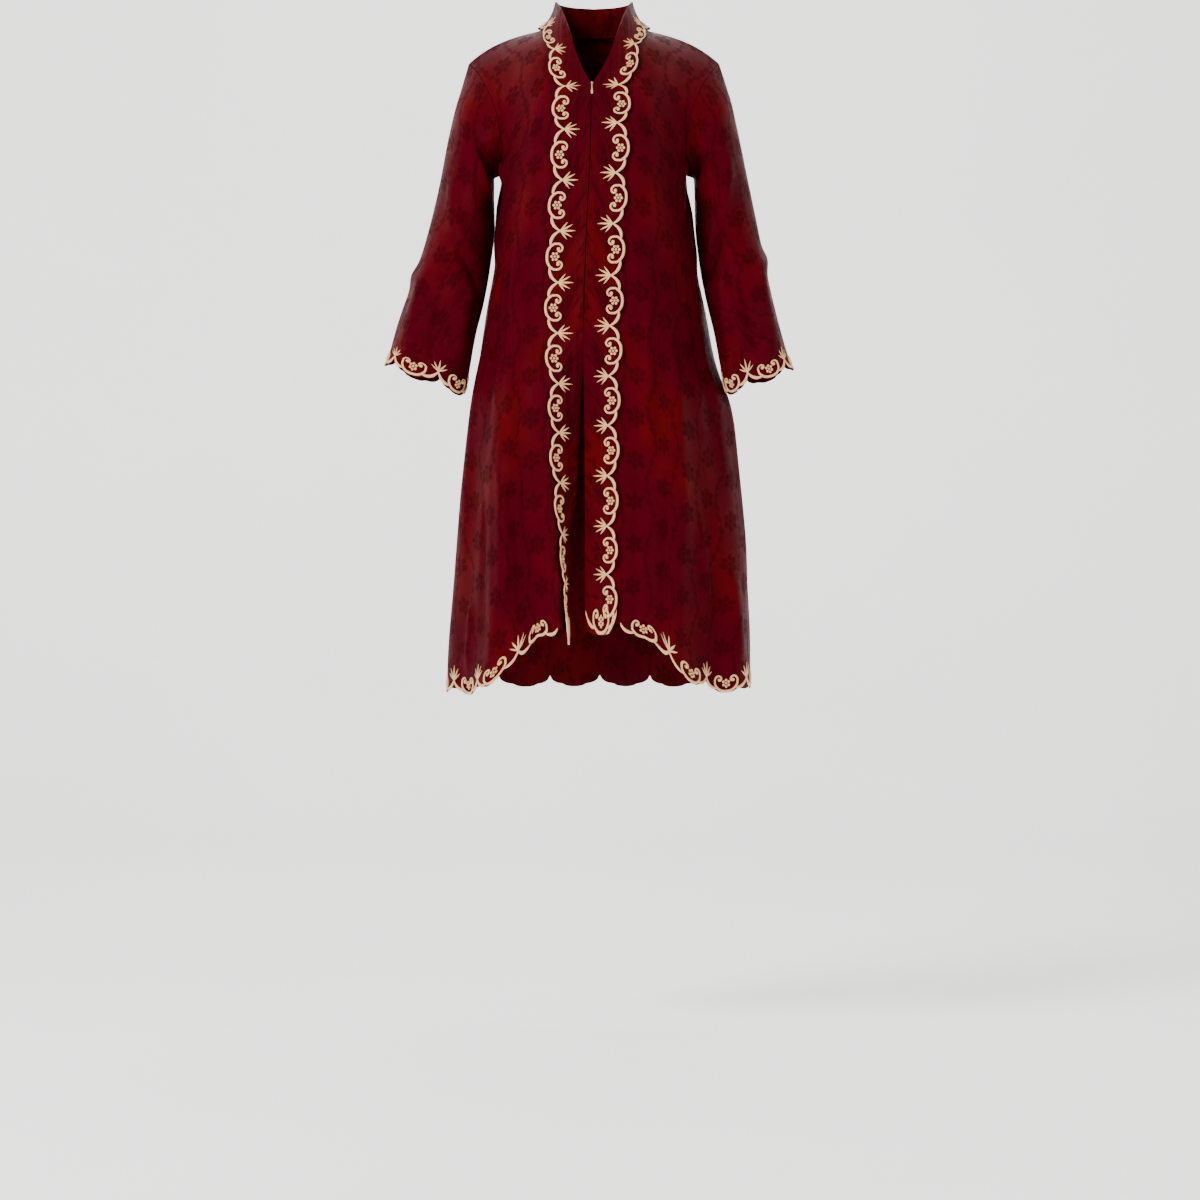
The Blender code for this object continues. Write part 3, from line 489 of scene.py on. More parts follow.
class Rows:
    """A panel's rows: the columns of its sections and its yoke, read at any level."""

    def __init__(self, panel: Panel) -> None:
        """Reads the tables for one panel."""
        self.panel = panel
        self.side = -1 if panel is Panel.FRONT_RIGHT else 1
        levels = [s.z for s in SECTIONS]
        columns = [self.section_row(s) for s in SECTIONS]
        for row in BACK_YOKE if panel is Panel.BACK else FRONT_YOKE:
            x, y, z = row.start
            levels.append(yoke_level(row.level))
            columns.append([x + self.side * row.lean, y, z, *row.end, *row.leave, *row.arrive, *row.pull])
        self.levels = np.array(levels)
        self.columns = np.array(columns)

    def section_row(self, s: Section) -> list[float]:
        """The row at one of the body's sections, for the wearer's left.

        Args:
            s: The section.

        Returns:
            start, end, leave, arrive and the two pulls, in one list.
        """
        if self.panel is Panel.BACK:
            return [0, s.back, s.z, s.side, 0, s.z, 1, 0, 0, 0, -1, 0, 0.44, 0.44]
        opening = opening_columns(np.array([s.z]))[0]
        ridge = opening[0] if self.side > 0 else -opening[1]
        return [ridge, -s.front, s.z, s.side + self.side * s.lean, 0, s.z, 1, 0.04, 0, 0, 1, 0, 0.36, 0.46]

    def at(self, level: Array) -> tuple[Array, Array, Array, Array, Array]:
        """Reads the rows.

        Args:
            level: The levels.

        Returns:
            start, end, leave, arrive and the two pulls at each level.
        """
        c = through(self.levels, self.columns, level)
        return c[:, 0:3], c[:, 3:6], unit(c[:, 6:9]), unit(c[:, 9:12]), c[:, 12:14]


def opening_columns(z: Array) -> Array:
    """left_edge, right_edge, left_roll and right_roll at these heights."""
    return through([r.z for r in OPENING], [astuple(r)[1:] for r in OPENING], z)


class BodyShape:
    """The smooth surfaces on which the cloth of the body, sleeves and bands hangs."""

    def __init__(self) -> None:
        """Reads the rows of the three panels."""
        self.rows = {panel: Rows(panel) for panel in Panel}

    def of_side(self, side: Side) -> Rows:
        """The rows of one side's front."""
        return self.rows[Panel.FRONT_LEFT if side is Side.LEFT else Panel.FRONT_RIGHT]

    def row_points(
        self, start: Array, end: Array, leave: Array, arrive: Array, pull: Array, share: Array
    ) -> tuple[Array, Array]:
        """Points a share of the way along each row, by length.

        Args:
            start: The rows' first points.
            end: The rows' last points.
            leave: The rows' directions at their first points.
            arrive: The rows' directions at their last points.
            pull: The two handles' lengths, as shares of the chord.
            share: How far along its row each point is, from 0 to 1.

        Returns:
            The points, and the rows' directions there.
        """
        chord = np.linalg.norm(end - start, axis=1, keepdims=True)
        first = start + leave * chord * pull[:, :1]
        second = end - arrive * chord * pull[:, 1:]
        steps = np.linspace(0, 1, 17)
        s = steps[:, None, None]
        samples = (
            start * (1 - s) ** 3 + first * 3 * (1 - s) ** 2 * s + second * 3 * (1 - s) * s * s + end * s**3
        )
        lengths = np.linalg.norm(np.diff(samples, axis=0), axis=2)
        run = np.vstack([np.zeros(len(start)), np.cumsum(lengths, axis=0)])
        run /= run[-1]
        k = np.clip((run < share).sum(axis=0) - 1, 0, 15)
        n = np.arange(len(share))
        low, high = run[k, n], run[k + 1, n]
        u = ((k + (share - low) / np.maximum(high - low, 1e-9)) / 16)[:, None]
        v = 1 - u
        points = start * v**3 + first * 3 * v * v * u + second * 3 * v * u * u + end * u**3
        slope = (first - start) * v * v + (second - first) * 2 * v * u + (end - second) * u * u
        return points, unit(slope)

    def fold_height(self, panel: Panel, across: Array, level: Array) -> Array:
        """How far the large folds move the cloth out from its smooth surface.

        Args:
            panel: The panel.
            across: Shares across the panel.
            level: Levels.

        Returns:
            The heights, in metres.
        """
        total = np.zeros(len(across))
        for f in FOLDS:
            if f.panel is not panel:
                continue
            grown = smooth((f.start - level) / (f.start - FOLD_FULL))
            centre = f.top_across + (f.hem_across - f.top_across) * grown
            shape = np.exp(-(((across - centre) / (f.width * (0.8 + 0.35 * grown))) ** 2))
            total += f.height * grown * shape
        return total

    def neck(self, side: int, width: Array, level: Array) -> Array:
        """Points round the neck, mirrored for the right.

        Args:
            side: The sign of X on that side.
            width: 0 at the neck edge and 1 at the ridge line.
            level: Levels.

        Returns:
            The points.
        """
        table = [[*r.inner, *r.middle, *r.outer] for r in NECK_ROWS]
        c = through([yoke_level(r.level) for r in NECK_ROWS], table, level)
        leans = [side * r.lean for r in FRONT_YOKE]
        lean = through([yoke_level(r.level) for r in FRONT_YOKE], leans, np.minimum(level, SHOULDER_LEVEL))
        inner, middle, outer = c[:, 0:3], c[:, 3:6], c[:, 6:9]
        control = 2 * middle - (inner + outer) / 2
        w = width[:, None]
        points = inner * (1 - w) ** 2 + control * 2 * w * (1 - w) + outer * w * w
        return points + lean * [1, 0, 0]

    def rolled(self, rows: Rows, leave: Array, level: Array, share: Array) -> Array:
        """The inward direction, turned back by a share of the roll.

        Args:
            rows: The front's rows.
            leave: The rows' first directions.
            level: Levels.
            share: Shares of the roll.

        Returns:
            One direction per level.
        """
        column = 2 if rows.side > 0 else 3
        roll = opening_columns(np.clip(level, SECTIONS[0].z, OPENING[-1].z))[:, column]
        c, s = np.cos(np.radians(roll) * share), np.sin(np.radians(roll) * share)
        x, y, z = -leave.T
        return np.stack([x * c + y * s, y * c - x * s, z], axis=1)

    def edge(self, rows: Rows, reach: Array, level: Array, flat: bool) -> Array:
        """Points from the ridge line to the front edge.

        Args:
            rows: The front's rows.
            reach: 0 at the ridge and 1 at the front edge.
            level: Levels.
            flat: Whether the line is the one that the stiff band keeps.

        Returns:
            The points, for the wearer's left.
        """
        start, _, leave, _, _ = rows.at(level)
        low, steps = start, 12
        gone = np.ones(len(level)) if flat else np.clip(reach, 0, 1)
        for k in range(steps):
            turned = self.rolled(rows, leave, level, smooth((k + 0.5) / steps * gone / BAND_CURL))
            low = low + turned * (gone * BAND_WIDTH / steps)[:, None]
        if flat:
            ahead = self.rolled(rows, leave, level, np.ones(len(level)))
            low = low - ahead * ((1 - reach) * BAND_WIDTH)[:, None]
        high = self.neck(rows.side, 1 - reach, np.maximum(level, yoke_level(0.5)))
        mix = smooth((level - yoke_level(0.38)) / (yoke_level(0.58) - yoke_level(0.38)))[:, None]
        return low * (1 - mix) + high * mix

    def front(self, side: Side, across: Array, level: Array) -> Array:
        """Points of a front.

        Args:
            side: Which front.
            across: 0 at the ridge line, 1 at the side, and -1 at the front edge.
            level: Levels.

        Returns:
            The points.
        """
        rows = self.of_side(side)
        start, end, leave, arrive, pull = rows.at(level)
        inside = np.maximum(across, 0)
        body, slope = self.row_points(start, end, leave, arrive, pull, np.minimum(inside, 1))
        out = unit(np.stack([slope[:, 1], -slope[:, 0], np.zeros(len(slope))], axis=1))
        height = self.fold_height(rows.panel, inside, level) * smooth(inside / 0.10)
        body = body + out * (height * smooth((1 - inside) / 0.12))[:, None]
        edge = self.edge(rows, np.maximum(-across, 0), level, False)
        points = np.where(across[:, None] < 0, edge, body)
        return points * [rows.side, 1, 1]

    def back(self, across: Array, level: Array) -> Array:
        """Points of the back.

        Args:
            across: From -1 at the right side seam to 1 at the left one.
            level: Levels.

        Returns:
            The points.
        """
        start, end, leave, arrive, pull = self.rows[Panel.BACK].at(level)
        points, slope = self.row_points(start, end, leave, arrive, pull, np.minimum(np.abs(across), 1))
        out = unit(np.stack([-slope[:, 1], slope[:, 0], np.zeros(len(slope))], axis=1))
        height = self.fold_height(Panel.BACK, across, level) * smooth((1 - np.abs(across)) / 0.12)
        points = points + out * height[:, None]
        mirror = np.where(across < 0, -1.0, 1.0)
        points = points * np.stack([mirror, np.ones(len(across)), np.ones(len(across))], axis=1)
        lean = through([s.z for s in SECTIONS], [s.lean for s in SECTIONS], np.minimum(level, ARMPIT_LEVEL))
        return points + lean * [1, 0, 0]

    def armhole(self, angle: Array) -> Array:
        """The armhole's loop for the left.

        Args:
            angle: 0 at the shoulder, 90 in front, 180 under the arm and 270 behind, in degrees.

        Returns:
            The points.
        """
        angle = np.mod(angle, 360.0)
        in_front = angle <= 180
        level = yoke_level(np.where(in_front, 1 - angle / 180, (angle - 180) / 180))
        front = self.rows[Panel.FRONT_LEFT].at(level)[1]
        back = self.rows[Panel.BACK].at(level)[1]
        return np.where(in_front[:, None], front, back)

    def sleeve(self, side: Side, angle: Array, along: Array) -> Array:
        """Points of a sleeve.

        Args:
            side: Which sleeve.
            angle: As for the armhole.
            along: 0 at the armhole and 1 at the cuff's cusps.

        Returns:
            The points.
        """
        turn = np.radians(angle)
        stack = [self.armhole(angle)]
        for r in SLEEVE_RINGS[side]:
            top, low = np.array(r.outer), np.array(r.inner)
            flat = (top + low) / 2 + (top - low) / 2 * np.cos(turn)[:, None]
            y = r.middle_y - r.half_depth * np.sin(turn)
            stack.append(np.stack([flat[:, 0], y, flat[:, 1]], axis=1))
        knots = [0.0] + [r.along for r in SLEEVE_RINGS[side]]
        return through(knots, np.stack(stack), along) * [side.value, 1, 1]

    def band(self, side: Side, width: Array, level: Array) -> Array:
        """Points of a front band, above its front.

        Args:
            side: Which band.
            width: 0 at its fold and 1 at the scallops' tops.
            level: Levels.

        Returns:
            The points.
        """
        rows = self.of_side(side)

        def under(a: Array, b: Array) -> Array:
            """The line that the band keeps."""
            return self.edge(rows, 1 - a, b, True) * [rows.side, 1, 1]

        lift = BAND_LIFT + BAND_LOOSE * smooth(width)
        return under(width, level) + normals_of(under, width, level, rows.side) * lift[:, None]

    def neck_band(self, around: Array, width: Array) -> Array:
        """Points of the neck band.

        Args:
            around: -1 at the right shoulder seam and 1 at the left one.
            width: 0 at the neck edge and 1 at the scallops' tops.

        Returns:
            The points.
        """

        def under(a: Array, b: Array) -> Array:
            """The neck, under the band."""
            level = yoke_level(1 + (NECK_ROWS[-1].level - 1) * (1 - np.abs(a)))
            mirror = np.where(a < 0, -1.0, 1.0)
            return self.neck(1, b, level) * np.stack([mirror, np.ones(len(a)), np.ones(len(a))], axis=1)

        lift = BAND_LIFT + BAND_LOOSE * smooth(width)
        return under(around, width) + normals_of(under, around, width, 1) * lift[:, None]


SHAPE = BodyShape()


# ---------------------------------------------------------------- shader and node helpers


class Nodes:
    """Adds nodes to a tree, each with its settings and its sockets' values or links."""

    def __init__(self, tree: bpy.types.NodeTree) -> None:
        """Keeps the tree."""
        self.tree = tree

    def add(self, kind: str, settings: dict[str, Any] | None = None, **sockets: Any) -> bpy.types.Node:
        """Adds one node.

        Args:
            kind: The node's type.
            settings: Its settings, set first.
            **sockets: Values or links, by the socket's name with _ for each space, or by in0, in1...

        Returns:
            The node.
        """
        node = self.tree.nodes.new(kind)
        for name, value in (settings or {}).items():
            setattr(node, name, value)
        for name, value in sockets.items():
            number = name[2:]
            key = int(number) if name.startswith("in") and number.isdigit() else name.replace("_", " ")
            self.put(node.inputs[key], value)
        return node

    def put(self, socket: bpy.types.NodeSocket, value: Any) -> None:
        """Links a socket or sets its value.

        Args:
            socket: The input.
            value: A number, a tuple, a Field, an output or a data block.
        """
        if isinstance(value, Field):
            value = value.socket
        if isinstance(value, bpy.types.NodeSocket):
            self.tree.links.new(value, socket)
        else:
            socket.default_value = value


class Field:
    """A number that varies over a surface. Expressions on it add Math nodes."""

    def __init__(self, nodes: Nodes, socket: bpy.types.NodeSocket) -> None:
        """Keeps the socket and its tree."""
        self.nodes = nodes
        self.socket = socket

    def math(self, operation: str, *others: Any) -> "Field":
        """A Math node on this field and the others."""
        inputs = {f"in{k}": value for k, value in enumerate((self, *others))}
        node = self.nodes.add("ShaderNodeMath", {"operation": operation}, **inputs)
        return Field(self.nodes, node.outputs[0])

    def __add__(self, other: Any) -> "Field":
        """The sum."""
        return self.math("ADD", other)

    __radd__ = __add__

    def __mul__(self, other: Any) -> "Field":
        """The product."""
        return self.math("MULTIPLY", other)

    __rmul__ = __mul__

    def __sub__(self, other: Any) -> "Field":
        """The difference."""
        return self.math("SUBTRACT", other)

    def __rsub__(self, other: float) -> "Field":
        """The difference from a plain number."""
        node = self.nodes.add("ShaderNodeMath", {"operation": "SUBTRACT"}, in0=other, in1=self)
        return Field(self.nodes, node.outputs[0])

    def __truediv__(self, other: Any) -> "Field":
        """The quotient."""
        return self.math("DIVIDE", other)

    def __mod__(self, other: Any) -> "Field":
        """The remainder, never negative."""
        return self.math("FLOORED_MODULO", other)

    def sine(self) -> "Field":
        """The sine."""
        return self.math("SINE")

    def step(self, low: float, high: float) -> "Field":
        """0 below low and 1 above high, with an easy change between.

        Args:
            low: Where the change starts.
            high: Where it ends.

        Returns:
            The eased field.
        """
        settings = {"interpolation_type": "SMOOTHSTEP"}
        node = self.nodes.add(
            "ShaderNodeMapRange", settings, Value=self, From_Min=low, From_Max=high
        )
        return Field(self.nodes, node.outputs[0])


def mixed(nodes: Nodes, share: Any, first: Any, second: Any) -> bpy.types.NodeSocket:
    """A colour between two colours.

    Args:
        nodes: The material's nodes.
        share: 0 for the first colour and 1 for the second.
        first: A colour or a link.
        second: A colour or a link.

    Returns:
        The mixed colour.
    """
    node = nodes.add("ShaderNodeMix", {"data_type": "RGBA"}, in0=share, in6=first, in7=second)
    return node.outputs[2]


def blank(name: str) -> tuple[bpy.types.Material, Nodes, bpy.types.Node]:
    """A new material, with its nodes and its shader."""
    made = bpy.data.materials.new(name)
    made.use_nodes = True
    return made, Nodes(made.node_tree), made.node_tree.nodes["Principled BSDF"]


def flat_place(nodes: Nodes) -> tuple[bpy.types.Node, Field, Field]:
    """The node with a piece's own flat map, and its two numbers, in metres."""
    place = nodes.add("ShaderNodeUVMap", {"uv_map": "UVMap"})
    parts = nodes.add("ShaderNodeSeparateXYZ", Vector=place.outputs[0])
    return place, Field(nodes, parts.outputs[0]), Field(nodes, parts.outputs[1])


Colour = tuple[float, float, float, float]


@dataclass(frozen=True)
class Jacquard:
    """Crimson satin jacquard: petal clusters and leafy vines, woven tone on tone."""

    name: str = "jacquard_cloth"
    ground: Colour = (0.058, 0.0001, 0.0042, 1)
    warm: Colour = (0.098, 0.0030, 0.0024, 1)
    figure: Colour = (0.019, 0.0001, 0.0010, 1)
    deep: Colour = (0.030, 0.0001, 0.0022, 1)
    cell_width: float = 0.050
    cell_height: float = 0.062
    petal_ring: float = 0.0100
    petal: float = 0.0060

    def material(self) -> bpy.types.Material:
        """Makes the cloth's material once.

        Returns:
            The material.
        """
        found = bpy.data.materials.get(self.name)
        if found:
            return found
        made, nodes, shader = blank(self.name)
        place, u, v = flat_place(nodes)
        wander = nodes.add("ShaderNodeTexNoise", Vector=place.outputs[0], Scale=42.0, Detail=1.0)
        shift = (Field(nodes, wander.outputs[0]) - 0.5) * 0.014
        figure = self.figures(u + shift, v - shift * 0.7)
        soft = nodes.add("ShaderNodeTexNoise", Vector=place.outputs[0], Scale=6.0, Detail=2.0)
        blush = Field(nodes, soft.outputs[0]).step(0.42, 0.68)
        cloudy = nodes.add("ShaderNodeTexNoise", Vector=place.outputs[0], Scale=22.0, Detail=3.0)
        clouds = Field(nodes, cloudy.outputs[0]).step(0.36, 0.66)
        base = mixed(nodes, blush * 0.55, self.ground, self.warm)
        base = mixed(nodes, (1 - clouds) * 0.30, base, self.deep)
        base = mixed(nodes, figure * 0.55, base, self.figure)
        nodes.put(shader.inputs["Base Color"], base)
        nodes.put(shader.inputs["Roughness"], 0.47 + figure * 0.16 - clouds * 0.05)
        shader.inputs["Sheen Weight"].default_value = 0.0
        shader.inputs["Sheen Roughness"].default_value = 0.35
        shader.inputs["Sheen Tint"].default_value = (0.70, 0.04, 0.07, 1)
        shader.inputs["Specular IOR Level"].default_value = 0.06
        shader.inputs["Specular Tint"].default_value = (1.0, 0.18, 0.24, 1)
        height = self.weave(u, v) * 0.10 + figure * 0.12 + self.crumple(nodes, place) * 1.0
        bump = nodes.add("ShaderNodeBump", Strength=0.55, Distance=0.0022, Height=height)
        nodes.put(shader.inputs["Normal"], bump.outputs[0])
        return made

    def figures(self, u: Field, v: Field) -> Field:
        """The woven figure: petal clusters in a half drop, with a leafy vine between their rows.

        Args:
            u: Metres across the cloth.
            v: Metres along the cloth.

        Returns:
            1 on the figure and 0 on the ground.
        """
        column = (u / self.cell_width).math("FLOOR")
        drop = v / self.cell_height + (column % 2.0) * 0.5
        x = ((u / self.cell_width) % 1.0 - 0.5) * self.cell_width
        y = (drop % 1.0 - 0.5) * self.cell_height
        radius = (x * x + y * y).math("SQRT")
        wedge = 2 * math.pi / 6
        angle = y.math("ARCTAN2", x) % wedge - wedge / 2
        px, py = radius * angle.math("COSINE") - self.petal_ring, radius * angle.sine()
        blot = (px * px + py * py * 1.6).math("SQRT")
        petals = 1 - blot.step(self.petal * 0.72, self.petal * 1.12)
        heart = 1 - radius.step(0.0030, 0.0046)
        sway = (v * (2 * math.pi / 0.110)).sine() * 0.0065
        vine_x = ((u + sway) / self.cell_width) % 1.0
        from_vine = (vine_x - 0.5).math("ABSOLUTE") * -self.cell_width + self.cell_width / 2
        leaf = (v * (2 * math.pi / 0.030) + u * 60.0).sine().math("ABSOLUTE") * 0.0046
        leaves = 1 - (from_vine - leaf).step(-0.0006, 0.0012)
        return petals.math("MAXIMUM", heart).math("MAXIMUM", leaves * 0.75)

    def weave(self, u: Field, v: Field) -> Field:
        """The satin weave's fine twill lines.

        Args:
            u: Metres across the cloth.
            v: Metres along the cloth.

        Returns:
            The lines' height, from -1 to 1.
        """
        return (u * (2 * math.pi / 0.0009) + v * (2 * math.pi / 0.0016)).sine()

    def crumple(self, nodes: Nodes, place: bpy.types.Node) -> Field:
        """Small soft creases that run mostly down the cloth.

        Args:
            nodes: The material's nodes.
            place: The node with the cloth's own coordinates.

        Returns:
            The creases' height, from 0 to 1.
        """
        stretched = nodes.add("ShaderNodeMapping", Vector=place.outputs[0], Scale=(1.0, 0.35, 1.0))
        noise = nodes.add(
            "ShaderNodeTexNoise", Vector=stretched.outputs[0], Scale=34.0, Detail=2.0, Distortion=0.6
        )
        return Field(nodes, noise.outputs[0])


@dataclass(frozen=True)
class Thread:
    """Cream embroidery thread in satin stitch, across each cord. Its colour has painted shade in the
    grooves between the stitches.
    """

    name: str = "embroidery_thread"
    light: Colour = (0.96, 0.56, 0.26, 1)
    # The first colour is the cream thread's own colour. The second is painted shade for the grooves between
    # the stitches, and also the darker tone of uneven thread.
    shade: Colour = (0.62, 0.25, 0.09, 1)
    stitch: float = 0.75 * MM

    def material(self) -> bpy.types.Material:
        """Makes the thread's material once.

        Returns:
            The material.
        """
        found = bpy.data.materials.get(self.name)
        if found:
            return found
        made, nodes, shader = blank(self.name)
        place, along, around = flat_place(nodes)
        threads = (along * (2 * math.pi / self.stitch) + around * 2.0).sine()
        noise = nodes.add("ShaderNodeTexNoise", Vector=place.outputs[0], Scale=260.0, Detail=2.0)
        uneven = Field(nodes, noise.outputs[0]).step(0.35, 0.7)
        # Darker between the stitches, where painted shade stands in for the shade in the grooves, and
        # darker in random patches of uneven thread.
        share = (0.5 - threads * 0.22) * 0.6 + uneven * 0.22
        nodes.put(shader.inputs["Base Color"], mixed(nodes, share, self.light, self.shade))
        nodes.put(shader.inputs["Roughness"], 0.40 + uneven * 0.12)
        shader.inputs["Sheen Weight"].default_value = 0.15
        bump = nodes.add("ShaderNodeBump", Strength=0.5, Distance=0.0004, Height=threads)
        nodes.put(shader.inputs["Normal"], bump.outputs[0])
        return made


@dataclass(frozen=True)
class Plain:
    """A finish with a fine grain: zip tape, zip enamel, or the studio floor."""

    name: str
    colour: Colour
    other: Colour
    roughness: float
    grain: float
    bump: float = 0.0002
    metallic: float = 0.0
    glow: float = 0.0

    def material(self) -> bpy.types.Material:
        """Makes the material once.

        Returns:
            The material.
        """
        found = bpy.data.materials.get(self.name)
        if found:
            return found
        made, nodes, shader = blank(self.name)
        place = nodes.add("ShaderNodeTexCoord")
        noise = nodes.add(
            "ShaderNodeTexNoise", Vector=place.outputs["Object"], Scale=self.grain, Detail=3.0
        )
        grain = Field(nodes, noise.outputs[0])
        colour = mixed(nodes, grain.step(0.35, 0.65), self.colour, self.other)
        nodes.put(shader.inputs["Base Color"], colour)
        nodes.put(shader.inputs["Roughness"], grain * 0.12 + self.roughness)
        shader.inputs["Metallic"].default_value = self.metallic
        shader.inputs["Emission Color"].default_value = self.colour
        shader.inputs["Emission Strength"].default_value = self.glow
        bump = nodes.add("ShaderNodeBump", Strength=0.3, Distance=self.bump, Height=grain)
        nodes.put(shader.inputs["Normal"], bump.outputs[0])
        return made


JACQUARD = Jacquard()
THREAD = Thread()
ZIP_TAPE = Plain("zip_tape_weave", (0.10, 0.004, 0.010, 1), (0.16, 0.008, 0.016, 1), 0.75, 900.0)
ZIP_ENAMEL = Plain(
    "zip_enamel_coat", (0.66, 0.38, 0.20, 1), (0.52, 0.28, 0.14, 1), 0.25, 500.0, metallic=0.2
)
FLOOR = Plain("studio_floor", (0.93, 0.93, 0.92, 1), (0.91, 0.91, 0.90, 1), 0.8, 3.0, glow=0.75)

# ---------------------------------------------------------------- sheets of cloth


def new_object(name: str, mesh: bpy.types.Mesh, material: bpy.types.Material | None) -> bpy.types.Object:
    """Links a mesh to the scene as an object at the origin.

    Args:
        name: The object's name.
        mesh: Its mesh.
        material: Its only material, if it has one.

    Returns:
        The object.
    """
    obj = bpy.data.objects.new(name, mesh)
    bpy.context.scene.collection.objects.link(obj)
    if material:
        mesh.materials.clear()
        mesh.materials.append(material)
    return obj


def map_points(mesh: bpy.types.Mesh, flat: Array) -> None:
    """Gives a mesh a flat map from one pair of numbers per point."""
    layer = mesh.uv_layers.new(name="UVMap")
    loops = np.empty(len(mesh.loops), np.int32)
    mesh.loops.foreach_get("vertex_index", loops)
    layer.data.foreach_set("uv", flat.astype(np.float32)[loops].ravel())


def spread(row: Array, grid: Array) -> Array:
    """The row, repeated to fill the grid's shape."""
    return np.broadcast_to(row, grid.shape).copy()


@dataclass(frozen=True)
class Crease:
    """A soft ridge or trough: its two ends in the sheet's own numbers, width and height in metres."""

    start: tuple[float, float]
    end: tuple[float, float]
    width: float
    height: float
    bow: float = 0.0

    def lift(self, a: Array, b: Array, pace: tuple[float, float]) -> Array:
        """How far the crease moves the cloth out.

        Args:
            a: First numbers of the points.
            b: Second numbers of the points.
            pace: Metres to a unit of a and of b.

        Returns:
            The heights, in metres.
        """
        scale = np.array(pace)
        first, last = np.array(self.start) * scale, np.array(self.end) * scale
        length = max(float(np.linalg.norm(last - first)), 1e-6)
        forward = (last - first) / length
        offset = np.stack([a * scale[0], b * scale[1]], axis=1) - first
        share = offset @ forward / length
        aside = offset @ np.array([-forward[1], forward[0]])
        aside = aside - self.bow * np.sin(np.pi * np.clip(share, 0, 1))
        ends = smooth(share / 0.35) * smooth((1 - share) / 0.35)
        width = self.width * (0.75 + 0.5 * np.clip(share, 0, 1))
        return self.height * ends * np.exp(-((aside / width) ** 2))


